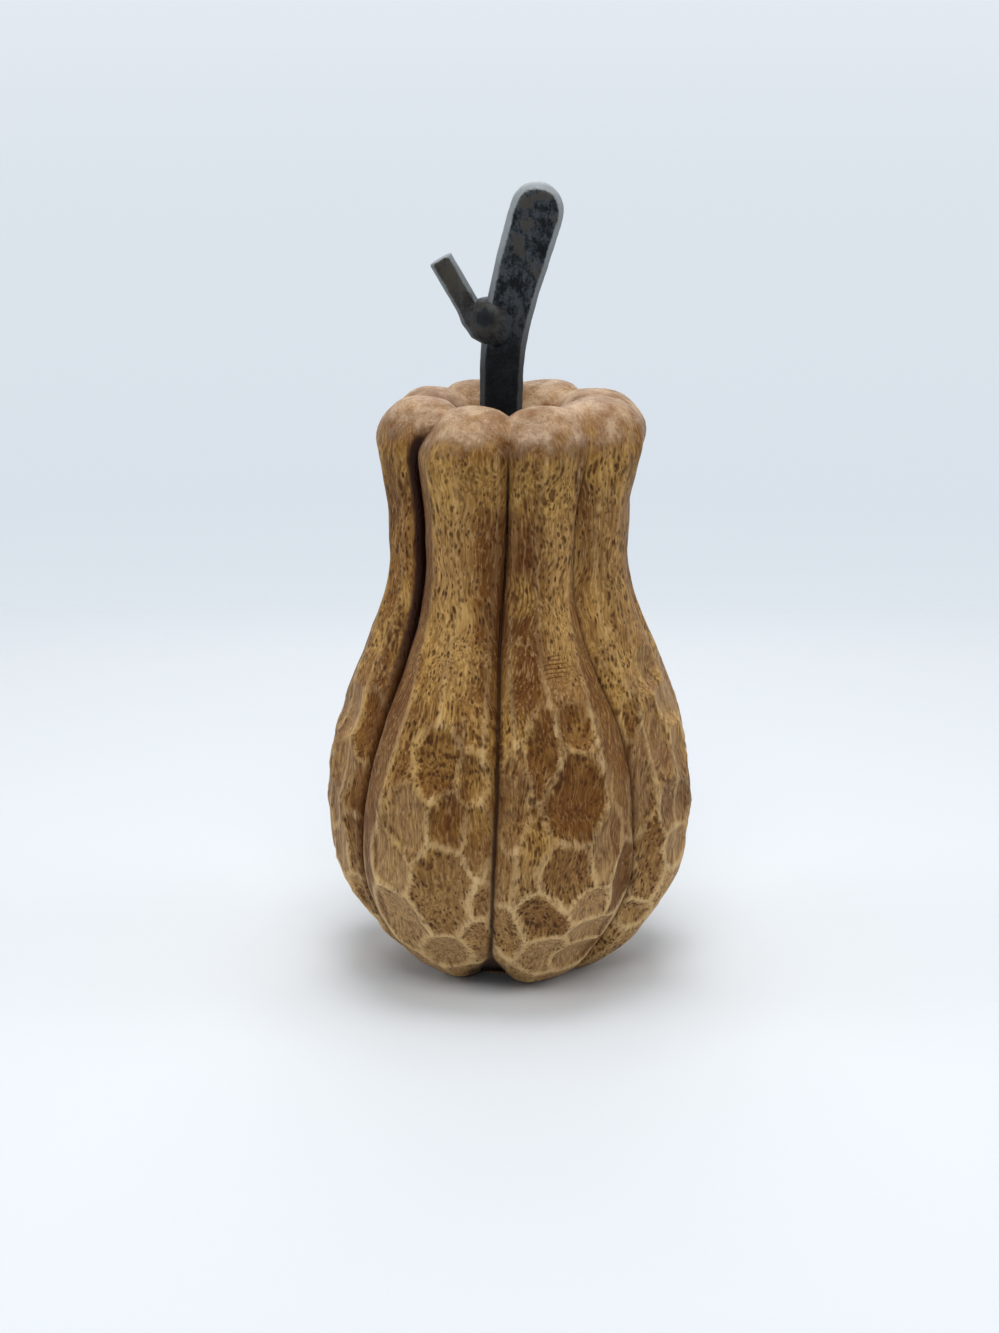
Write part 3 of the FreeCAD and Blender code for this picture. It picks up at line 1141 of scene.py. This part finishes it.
ridge_line = wood.attribute("ridge")
this_side = ridge_line.over(0.0)
tone = wood.attribute("tone_here") * this_side + wood.attribute("tone_beyond") * (1 - this_side)
comb = (flecks - 0.5) * (1 - low_belly * 0.7) * 4.5
ragged = abs(ridge_line).swayed(speckle, 1.0) + comb
on_ridge = wood.step(ragged, 1.9, 0.0) * carved_zone
inside = wood.step(ragged, 0.2, 3.4) * carved_zone
rim = wood.step(ragged, 0.9, 1.8) * wood.step(ragged, 4.5, 2.2) * carved_zone
hollow = inside * wood.step(tone.swayed(mottle, 0.4), 0.35, 0.75)
smooth_cut = inside * wood.step(tone.swayed(mottle, 0.2), 0.5, 0.34) * wood.step(tone, 0.0, 0.2)

groove_line = wood.attribute("groove")
groove_dark = wood.attribute("groove_dark")
flank = wood.attribute("flank")
pared_line = abs(wood.attribute("pared_edge")).swayed(speckle, 1.4)
# The pared edges are rubbed pale, and also painted with the highlight that they catch.
rubbed_and_lit_edge = wood.step(pared_line, 1.4, 0.1) * wood.step(groove_line, 1.5, 3.5)
rubbed_and_lit_edge = rubbed_and_lit_edge * (1 - crown_zone) * (1 - inside * wood.step(tone, 0.1, 0.4))
print(len(wood.tree.nodes), "nodes with the masks")

# %% Masks for the zones of the neck
rosy_height, golden_height = 136.0, 156.0
neck_shade_middle, sapwood_from_middle = 1.5, 16.0
rosy = wood.step(abs(height_here - rosy_height).swayed(blotch, 16.0), 16.0, 8.0)
gilded = wood.step(abs(height_here - golden_height).swayed(blotch, 12.0), 12.0, 4.0)
front_neck = wood.step(depth_here, 0.0, -10.0) * wood.step(height_here, 86.0, 108.0)
front_neck = front_neck * wood.step(height_here.swayed(blotch, 20.0), 158.0, 140.0)
# Painted shade: a darker band down the middle of the neck's front, beside the front groove.
front_neck_shade = wood.step(abs(across_here - neck_shade_middle).swayed(stain, 14.0), 12.0, 6.0) * front_neck
sapwood = wood.step(abs(abs(across_here) - sapwood_from_middle).swayed(stain, 10.0), 7.0, 3.5)
sapwood = (sapwood + wood.step(across_here, 20.0, 27.0) * 0.7) * front_neck
print(len(wood.tree.nodes), "nodes with the zones")

# %% Pores, longer and closer together in the hollows
def pores(scale, seed, crowded, edge, strong):
    """A mask of long pores, wider where they are crowded, each with a strength of its own."""
    spread = wood.shifted(bent, scale, seed)
    near = wood.node("TexVoronoi", None, {"Vector": spread, "Scale": 1.0}, "Distance")
    own = wood.node("TexVoronoi", None, {"Vector": spread, "Scale": 1.0}, "Color")
    return wood.step(near - crowded, *edge) * wood.step(wood.axes(own)[0], *strong)


crowded = (rim * 0.06 + hollow * 0.04 - 0.03).swayed(blotch, 0.6).swayed(mottle, 0.4)
long_pores = pores((0.8, 0.8, 0.26), (0, 0, 0), crowded, (0.45, 0.14), (0.1, 0.9))
crowded_rosy = crowded + rosy * 0.05
short_pores = pores((1.0, 1.0, 0.5), (5, 3, 1), crowded_rosy, (0.45, 0.18), (0.1, 0.8))
crowded_neck = crowded + gilded * 0.14 + front_neck_shade * 0.08
wide_pores = pores((0.5, 0.5, 0.17), (9, 2, 4), crowded_neck, (0.42, 0.1), (0.35, 0.8))
print(len(wood.tree.nodes), "nodes with the pores")

# %% Two marks of their own
# The gouge chattered in the scoop high on the front right lobe and left fine stripes.  Beside the
# front groove the cut runs through a few growth rings, which show as upright arcs round a heart.
# Each is placed by the pixel of its middle; its reach and the step from stripe to stripe are in mm.
chatter_pixel, chatter_reach, chatter_step = (555, 668), 5.6, 1.15
rings_pixel, rings_reach, rings_step = (514, 596), 7.5, 1.25
heart_pixel, heart_stretch = (496, 578), 0.45


def away_from(pixel, upright_share=1.0):
    """How far it is, in mm, to the place on the gourd that the camera sees at a pixel."""
    seen_place, _, _, _ = carved_form.ray_cast(camera_place, through_pixel(*pixel))
    scale = Vector((1, 1, upright_share))
    sockets = {0: wood.shifted(bent, scale), 1: scale * Vector(seen_place / mm)}
    return wood.node("VectorMath", {"operation": "DISTANCE"}, sockets, "Value")


def stripes(distance, step):
    """Dark stripes, one in every step millimetres."""
    turns = (distance * (math.tau / step)).swayed(mottle, 5.0)
    return wood.step(wood.node("Math", {"operation": "SINE"}, {0: turns}), 0.0, 0.9)


from_chatter = away_from(chatter_pixel).swayed(mottle, 3.0)
chatter = wood.step(from_chatter, chatter_reach, chatter_reach - 2.5)
chatter = chatter * stripes(height_here, chatter_step)
from_rings = away_from(rings_pixel).swayed(mottle, 3.0)
ring_patch = wood.step(from_rings, rings_reach, rings_reach - 3.0)
ring_patch = ring_patch * wood.step(across_here, -1.5, 0.5)
rings = stripes(away_from(heart_pixel, heart_stretch), rings_step) * ring_patch
print(len(wood.tree.nodes), "nodes with the two marks")

# %% The wood's colours, with its painted light and shade
golden_wood = paint(192, 148, 78)
brown_wood = paint(128, 82, 31)
rosy_wood = paint(140, 96, 48)
sap_wood = paint(200, 157, 94)
# This dark brown is used for real stain and also for painted shade beside the grooves.
stain_and_shade_wood = paint(88, 48, 13)
dark_wood = paint(80, 43, 12)
hollow_wood = paint(112, 68, 22)
smooth_wood = paint(168, 132, 92)
bounce_lit_wood = paint(198, 158, 103)
ridge_wood = paint(218, 183, 130)

body_tone = streak * 0.9 + blotch * 0.8 + mottle * 0.3 - 0.5
stained = wood.step(stain, 0.47, 0.62) * (1 - low_belly * 0.7)
colour = wood.layered(brown_wood, [
    (wood.step(body_tone, 0.34, 0.68), golden_wood),
    (gilded * 0.5, golden_wood),
    (rosy * 0.62, rosy_wood),
    (stained * 0.7, stain_and_shade_wood),
    # painted shade down the neck's front, beside the front groove
    (front_neck_shade * 0.6, stain_and_shade_wood),
    (ring_patch * 0.65, golden_wood),
    (sapwood * 0.5, sap_wood),
    # painted light: the low belly paler, as if lit from the floor
    (low_belly * (1 - flank) * 0.55, bounce_lit_wood),
    (smooth_cut * 0.6, smooth_wood),
    (hollow * 0.65, hollow_wood),
    (flank * 0.75, hollow_wood),
    (wood.step(fibre, 0.54, 0.36) * 0.42, dark_wood),
    (wood.step(fibre, 0.5, 0.66) * 0.34 * (1 - hollow * 0.5), ridge_wood),
])
print(len(wood.tree.nodes), "nodes with the colours")

# %% Pale ridges, dark flecks and pores
pore_wood = paint(68, 35, 9)
neck_heights = (84.0, 112.0)

# Ridges are paler still on the low belly, as part of its painted light.
ridge_share = on_ridge * (0.28 + low_belly * 0.5)
# Painted highlight on the pared edges, which are also rubbed pale.
ridge_share = ridge_share + rubbed_and_lit_edge * (0.4 - wood.step(height_here, *neck_heights) * 0.25)
open_grain = (1 - crown_zone * 0.85) * (1 - flank * 0.5) * (1 - smooth_cut * 0.6)
open_grain = open_grain * (1 - ridge_share * 0.7)
fleck_share = wood.step(flecks, 0.48, 0.66) * (0.38 + carved_zone * 0.2)
colour = wood.layered(colour, [
    (ridge_share, ridge_wood),
    (fleck_share * open_grain, dark_wood),
    (long_pores * 0.9 * open_grain, pore_wood),
    (short_pores * 0.8 * open_grain, pore_wood),
    (wide_pores * 0.8 * open_grain, dark_wood),
    (chatter * 0.75, stain_and_shade_wood),
    (rings * 0.7, stain_and_shade_wood),
])
print(len(wood.tree.nodes), "nodes with the pores' colour")

# %% The sanded crown
pale_crown = paint(198, 170, 142)
red_crown = paint(138, 102, 68)

crown_tone = (mottle * 0.8 + blotch * 0.4).swayed(fibre, 0.2).swayed(speckle, 0.15)
crown_wood = wood.blend(wood.step(crown_tone, 0.8, 0.42), pale_crown, red_crown)
crown_border = crown_zone * (1 - crown_zone) * 4.0 * wood.step(blotch + mottle, 0.85, 1.15)
colour = wood.layered(colour, [
    (crown_zone * 0.8, crown_wood),
    (crown_border * 0.5, stain_and_shade_wood),
])
print(len(wood.tree.nodes), "nodes with the crown")

# %% Painted shade in the grooves
# The grooves are darkened with painted shade, most of all the deep ones on the neck, which are
# painted nearly black with a red-brown rim.
groove_shade_wood = paint(34, 13, 4)
red_wood = paint(70, 26, 8)

below_crown = 1 - crown_zone
on_neck = wood.step(height_here, 80.0, 118.0)
deepest = wood.step(groove_dark, 1.1, 1.3)
shaded = wood.step(groove_line.swayed(mottle, 6.0).swayed(streak, 6.0), 6.5, 1.0)
shaded = shaded * wood.step(height_here, 24.0, 60.0) * below_crown
shaded = shaded * (0.3 + wood.step(groove_dark, 0.75, 0.95) * 0.7)
# Painted shade: a brown band along each groove, wider on the neck.
groove_band_shade = wood.step(groove_line.swayed(speckle, 1.0) + on_neck * 1.4, 2.8, 0.6)
groove_band_shade = groove_band_shade * wood.step(height_here, 172.0, 160.0)
# Painted shade: a narrow dark line in the crease of each groove.
deep = wood.step(groove_line.swayed(speckle, 0.8), 1.3, 0.3) * wood.step(groove_dark, 0.5, 1.0)
deep = deep * wood.step(height_here, 170.0, 162.0)
# Painted shade with a red-brown tint in the deepest groove, most of all on the neck.
red_groove_shade = wood.step(groove_line - on_neck * 2.0, 3.0, 0.5) * deepest
red_groove_shade = red_groove_shade * (0.25 + on_neck * 0.75) * below_crown
# Painted shade: the deepest groove nearly black on the neck.
neck_groove_shade = wood.step(groove_line.swayed(speckle, 1.0), 4.2, 2.6) * deepest
neck_groove_shade = neck_groove_shade * on_neck * below_crown
# Painted shade in the notch at the foot of the front groove.
notch_painted_shade = wood.step(wood.attribute("notch"), 0.25, 0.6)
colour = wood.layered(colour, [
    (shaded * 0.4, stain_and_shade_wood),
    (groove_band_shade * 0.5, dark_wood),
    (deep * 0.85, groove_shade_wood),
    (red_groove_shade * 0.85, red_wood),
    (neck_groove_shade * 0.92, groove_shade_wood),
    (notch_painted_shade * 0.7, groove_shade_wood),
])
print(len(wood.tree.nodes), "nodes with the grooves")

# %% The surface of the wood
# The light also catches the pores and fibres, as a relief of up to 0.4 mm.
relief = fibre * 0.35 + speckle * 0.15 - long_pores * 0.6 - short_pores * 0.3
wood.surface({
    "Base Color": colour,
    "Roughness": 0.46 + mottle * 0.12,
    "Specular IOR Level": 0.11,
    "Sheen Weight": 0.05,
    "Sheen Roughness": 0.3,
    "Normal": wood.bump(relief, 0.4),
})
gourd.data.materials.append(wood.owner)
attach(gourd, "root")
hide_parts("gourd_body")
print("wood:", len(wood.tree.nodes), "nodes")

# %% [markdown]
# ## The stem
# The stem is a flat iron bar, bent towards its round tip, with filed edges.  A curve with a bevel
# would give a round or a sharp bar, so its outline is drawn and filled instead, extruded to the
# bar's thickness, and its edges are bevelled for the filed rim.  A voxel remesh then gives it even
# faces, which a little smoothing and hammering can shape.

# %% The stem's outline
foot = Vector((-2.5, 0, dimple_floor))
foot_width = 12.2
shaft = Vector((-2.2, 0, dimple_floor + 20.5))
shaft_width = 12.8
tip = Vector((8.1, 0, dimple_floor + 68.7))
tip_width = 15.8
tip_lean = 15.0
bend_share = 0.33
stem_thickness = 10.6
filed_rim = 2.0
bend_points = 16
tip_points = 14


def leaning(lean):
    """The direction in the stem's plane that leans from upright towards +X, in degrees."""
    return Vector((math.sin(math.radians(lean)), 0, math.cos(math.radians(lean))))


def stem_side(side):
    """Points up one side of the stem, from its foot to where the round tip begins."""
    low = foot + Vector((side * foot_width / 2, 0, 0))
    start = shaft + Vector((side * shaft_width / 2, 0, 0))
    end = tip + leaning(tip_lean + 90) * (side * tip_width / 2)
    reach = (end - start).length * bend_share
    leave = start + (start - low).normalized() * reach
    arrive = end - leaning(tip_lean) * reach
    points = [low]
    for k in range(bend_points + 1):
        t = k / bend_points
        points.append(
            start * (1 - t) ** 3 + leave * (3 * t * (1 - t) ** 2)
            + arrive * (3 * t ** 2 * (1 - t)) + end * t ** 3
        )
    return points


tip_round = []
for k in range(1, tip_points):
    lean = tip_lean - 90 + 180 * k / tip_points
    tip_round.append(tip + leaning(lean) * (tip_width / 2))
outline = stem_side(-1) + tip_round + stem_side(1)[::-1]
outline = [(p + Vector((0, -stem_thickness / 2, 0))) * mm for p in outline]
print(len(outline), "points in the outline")

# %% From outline to forged bar
stem_voxels = 0.62
smoothing = 0.5
sharp_foot = 1.0


def remeshed(piece, size, rounds):
    """Gives even faces of that size in millimetres, and softens the edges in some rounds."""
    deselect_all()
    bpy.context.view_layer.objects.active = piece
    piece.select_set(True)
    remesh = piece.modifiers.new("even_faces", "REMESH")
    remesh.mode = "VOXEL"
    remesh.voxel_size = size * mm
    bpy.ops.object.modifier_apply(modifier=remesh.name)
    smooth = piece.modifiers.new("soft_edges", "SMOOTH")
    smooth.factor = smoothing
    smooth.iterations = rounds
    bpy.ops.object.modifier_apply(modifier=smooth.name)
    piece.data.shade_smooth()


stem = drawn_line("forged_stem", outline)
bpy.ops.mesh.select_all(action="SELECT")
bpy.ops.mesh.edge_face_add()
bpy.ops.mesh.extrude_region_move(
    TRANSFORM_OT_translate={"value": (0, stem_thickness * mm, 0)}
)
bpy.ops.mesh.select_all(action="SELECT")
bpy.ops.mesh.normals_make_consistent(inside=False)
keep_place_in_mesh(stem)
for edge in stem.data.edges:
    ends = [stem.data.vertices[i].co for i in edge.vertices]
    flat = abs(ends[0].y - ends[1].y) < mm / 10
    edge.select = flat and max(p.z for p in ends) > (dimple_floor + sharp_foot) * mm
bpy.ops.object.mode_set(mode="EDIT")
bpy.ops.mesh.select_mode(type="EDGE")
bpy.ops.mesh.bevel(offset=filed_rim * mm, segments=1, affect="EDGES")
keep_place_in_mesh(stem)
remeshed(stem, stem_voxels, 3)
print(len(stem.data.polygons), "faces in the stem")

# %% Hammer marks
hammer_depth = 0.16
broad_mark, small_mark = 4.5, 2.0

stem_points = points_of(stem)
marks = smooth_noise(stem_points, broad_mark) + 0.5 * smooth_noise(stem_points, small_mark, 5.0)
move_points(stem, stem_points + normals_of(stem) * (hammer_depth * marks)[:, None])
print(f"hammer marks up to {hammer_depth * np.abs(marks).max():.2f} mm deep")

# %% [markdown]
# ## The side twig and the knot
# A short round twig leans out of the fork to the left, sawn off square.  A round knot covers the
# joint, with a dark dimple on its front like the eye of a pruned branch.  Both start as a
# primitive, a cylinder and a ball, get even faces, and are then pushed into shape point by point,
# because the swellings run into each other too softly for a bevel or an extrusion.

# %% The twig
twig_joint = Vector((-7.8, 0, 196.3))
twig_radius = 3.6
twig_lean = -30.3
twig_length = 24.6
twig_root = 3.5
twig_voxels = 0.45
# Where the twig swells: how far along it, over what length and by what share of its radius
twig_swellings = ((5.0, 2.2, 0.16), (1.0, 3.0, 0.08))
root_taper = 0.5

deselect_all()
along = leaning(twig_lean)
bpy.ops.mesh.primitive_cylinder_add(
    vertices=40,
    radius=twig_radius * mm,
    depth=(twig_length + twig_root) * mm,
    location=(twig_joint + along * ((twig_length - twig_root) / 2)) * mm,
    rotation=(0, math.radians(twig_lean), 0),
)
twig = bpy.context.object
twig.name = "sawn_twig"
keep_place_in_mesh(twig)
remeshed(twig, twig_voxels, 2)
twig_points = points_of(twig)
way = (twig_points - np.array(twig_joint)) @ np.array(along)
axis = np.array(twig_joint) + way[:, None] * np.array(along)
swell = 1 - root_taper * np.clip(-way / twig_root, 0, 1)
for place, length, share in twig_swellings:
    swell = swell + share * np.exp(-((way - place) / length) ** 2)
marks = 0.1 * smooth_noise(twig_points, 3.0, 8.0)
move_points(twig, axis + (twig_points - axis) * (swell + marks / twig_radius)[:, None])
print(len(twig.data.polygons), "faces in the twig")

# %% The knot
knot_centre = Vector((-4.9, 0, 199.3))
knot_radius = 8.0
knot_voxels = 0.45
knot_eye = Vector((-0.34, -0.92, 0.22)).normalized()
eye_reach, eye_depth = 0.5, 0.7
# Where the ball is pushed in or drawn out: the direction, its reach in radians, and how far in mm
knot_pushes = {
    "crotch": (Vector((0.35, 0, 0.94)), 0.7, -1.6),
    "heel": (Vector((-0.77, 0, -0.64)), 0.6, -1.7),
    "skirt": (Vector((0.35, -0.5, -0.8)), 0.45, 1.2),
}

deselect_all()
bpy.ops.mesh.primitive_uv_sphere_add(
    segments=48, ring_count=32, radius=knot_radius * mm, location=knot_centre * mm
)
knot = bpy.context.object
knot.name = "fork_knot"
keep_place_in_mesh(knot)
remeshed(knot, knot_voxels, 1)
knot_points = points_of(knot)
spoke = knot_points - np.array(knot_centre)
spoke_length = np.linalg.norm(spoke, axis=1)


def near_direction(direction, reach):
    """1 where a point of the knot lies in that direction from its centre, fading to 0."""
    cosine = spoke @ np.array(direction.normalized()) / spoke_length
    return np.exp(-(np.arccos(np.clip(cosine, -1, 1)) / reach) ** 2)


near_eye = near_direction(knot_eye, eye_reach)
push = 0.2 * smooth_noise(knot_points, 3.0, 2.0) - eye_depth * near_eye
for direction, reach, distance in knot_pushes.values():
    push = push + distance * near_direction(direction, reach)
move_points(knot, np.array(knot_centre) + spoke * (1 + push / spoke_length)[:, None])
print(len(knot.data.polygons), "faces in the knot")

# %% [markdown]
# ## Blackened iron
# The iron is blue-black from the forge, streaked grey-brown, and its rims were filed to bare grey.
# Their grey is also a painted highlight, for the bright room that the bevels reflect.  How much of
# each shows comes from the way a surface faces, so that is stored first, and the finish reads it.

# %% Measure where a piece was filed and gets a painted highlight
def store_filed(piece, least_facing, softness, strength=1.0):
    """Stores how much bare metal and painted highlight shows: most where it faces neither front nor
    back.
    """
    share = np.clip((least_facing - np.abs(normals_of(piece)[:, 1])) / softness, 0, 1) * strength
    ends = np.zeros(len(piece.data.edges) * 2, int)
    piece.data.edges.foreach_get("vertices", ends)
    ends = ends.reshape(-1, 2)
    neighbours = np.maximum(np.bincount(ends.ravel(), minlength=len(share)), 1)
    for _ in range(3):
        mean = np.zeros(len(share))
        for side in (0, 1):
            np.add.at(mean, ends[:, side], share[ends[:, 1 - side]])
        share = 0.4 * share + 0.6 * mean / neighbours
    store(piece, "filed_and_highlight", share)
    print(f"{piece.name}: {share.mean():.0%} filed")


store_filed(stem, 0.93, 0.25)
store_filed(twig, 0.9, 0.35)
store_filed(knot, 0.5, 0.3, 0.5)
store(knot, "eye", near_eye)

# %% The iron finish
# Heights are in millimetres, and each mask sets in between two of them
black_iron = paint(6, 9, 13)
blue_iron = paint(66, 72, 78)
brown_iron = paint(68, 62, 53)
bare_and_lit_iron = paint(146, 151, 153)
foot_shade_heights = (182.0, 212.0)
tip_highlight_heights = (206.0, 228.0)
twig_sides = (-6.0, -13.0)

iron = Finish(bpy.data.materials.new("blackened_iron"))
spot = iron.place()
iron_across, _, iron_height = iron.axes(spot)
drawn = iron.clouds(iron.place((0.55, 0.55, 0.22)), 1.0, 4.0, 0.7)
cloud = iron.clouds(spot, 0.16, 3.0, 0.6)
grit = iron.clouds(spot, 1.1, 4.0, 0.7)
# The bevels are bare filed metal, and their grey is also a painted highlight for what they reflect.
filed_and_highlight = iron.step(iron.attribute("filed_and_highlight").swayed(grit, 0.6).swayed(drawn, 0.5), 0.3, 0.8)
# The stem is darker towards its foot, partly blackened and partly painted shade under the crown;
# higher up its wear, rust and rims show more.
high = iron.step(iron_height, *foot_shade_heights)
# Painted highlight: the rims are brighter near the tip.
tip_highlight = iron.step(iron_height, *tip_highlight_heights)
on_twig = iron.step(iron_across + cloud * 4.0, *twig_sides) * high
worn = iron.step((drawn * 0.7 + cloud * 0.7).swayed(grit, 0.5), 0.56, 0.82)
rusty = iron.step(cloud.swayed(grit, 0.4), 0.5, 0.66) * high
eye = iron.attribute("eye")
ring = iron.step(eye.swayed(grit, 0.3), 0.0, 0.15) * iron.step(eye, 0.7, 0.3)
skin = iron.layered(black_iron, [
    # darker at the foot: partly painted shade under the crown
    (worn * (0.08 + high * 0.92), blue_iron),
    (rusty * 0.8, brown_iron),
    (on_twig * 0.55, brown_iron),
    (ring * 0.4, brown_iron),
    (iron.step(eye.swayed(grit, 0.4), 0.45, 0.8) * 0.85, black_iron),
    # bare grey rims, with a painted highlight that is brighter high up and at the tip
    (filed_and_highlight * (0.17 + high * 0.47 + tip_highlight * 0.28), bare_and_lit_iron),
])
iron.surface({
    "Base Color": skin,
    "Metallic": filed_and_highlight * 0.25,
    "Roughness": 0.5 + grit * 0.2,
    "Specular IOR Level": 0.13,
    "Normal": iron.bump(grit * 0.6 + drawn * 0.6, 0.25),
})
for piece, node in ((stem, "stem"), (twig, "side_twig"), (knot, "joint_bead")):
    piece.data.materials.append(iron.owner)
    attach(piece, "root")
    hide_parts(node)
print("iron:", len(iron.tree.nodes), "nodes")

# %% [markdown]
# ## The felt disc and the stud
# The disc is punched from thick, firm felt and glued into the base, so that the wood doesn't
# scratch what it stands on.  It can't drape, so it is a bevelled cylinder with a matted face and
# not a cloth.  The stud is hidden in wood and iron, and keeps its CAD shape.

# %% The felt disc
felt_radius = 16.3
felt_thickness = 2.5
soft_rim = 0.7
felt_voxels = 0.5
matting, tuft_size = 0.12, 1.6

deselect_all()
bpy.ops.mesh.primitive_cylinder_add(
    vertices=96,
    radius=felt_radius * mm,
    depth=felt_thickness * mm,
    location=(0, 0, felt_thickness / 2 * mm),
)
felt = bpy.context.object
felt.name = "felt_disc"
bpy.ops.object.mode_set(mode="EDIT")
bpy.ops.mesh.select_mode(type="EDGE")
bpy.ops.object.mode_set(mode="OBJECT")
for edge in felt.data.edges:
    heights = [felt.data.vertices[i].co.z for i in edge.vertices]
    edge.select = abs(heights[0] - heights[1]) < mm / 10
bpy.ops.object.mode_set(mode="EDIT")
bpy.ops.mesh.bevel(offset=soft_rim * mm, segments=3, affect="EDGES")
keep_place_in_mesh(felt)
remeshed(felt, felt_voxels, 1)
felt_points = points_of(felt)
matted = matting * smooth_noise(felt_points, tuft_size) - matting
move_points(felt, felt_points + normals_of(felt) * matted[:, None])
print(len(felt.data.polygons), "faces in the felt")

# %% The felt's finish
wool = Finish(bpy.data.materials.new("wool_felt"))
tangle = wool.clouds(wool.place(), 2.6, 5.0, 0.75, 1.2)
tuft = wool.clouds(wool.place(), 0.35, 3.0, 0.6)
hue = wool.layered(paint(58, 44, 34), [
    (wool.step(tangle, 0.35, 0.65), paint(96, 76, 60)),
    (tuft * 0.35, paint(70, 54, 42)),
])
wool.surface({
    "Base Color": hue,
    "Roughness": 0.92 + tangle * 0.06,
    "Sheen Weight": 0.4,
    "Sheen Roughness": 0.5,
    "Normal": wool.bump(tangle, 0.4),
})
felt.data.materials.append(wool.owner)
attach(felt, "root")
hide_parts("base_felt")
print("felt:", len(wool.tree.nodes), "nodes")

# %% The stud
steel = Finish(bpy.data.materials.new("drawn_steel"))
lines = steel.clouds(steel.place((2.0, 2.0, 0.15)), 1.0, 4.0, 0.6)
tint = steel.blend(lines, paint(150, 152, 154), paint(190, 192, 194))
steel.surface({
    "Base Color": tint,
    "Metallic": 1.0,
    "Roughness": 0.28 + lines * 0.15,
    "Normal": steel.bump(lines, 0.05),
})
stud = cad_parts["stem_stud"]
stud.data.materials.clear()
stud.data.materials.append(steel.owner)
print("steel:", len(steel.tree.nodes), "nodes")

# %% [markdown]
# ## The size
# The dressed part should keep the CAD model's size, so its box is printed.

# %% Print the size
low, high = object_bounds()
print("visual box", [round(x / mm, 1) for x in (*low, *high)])
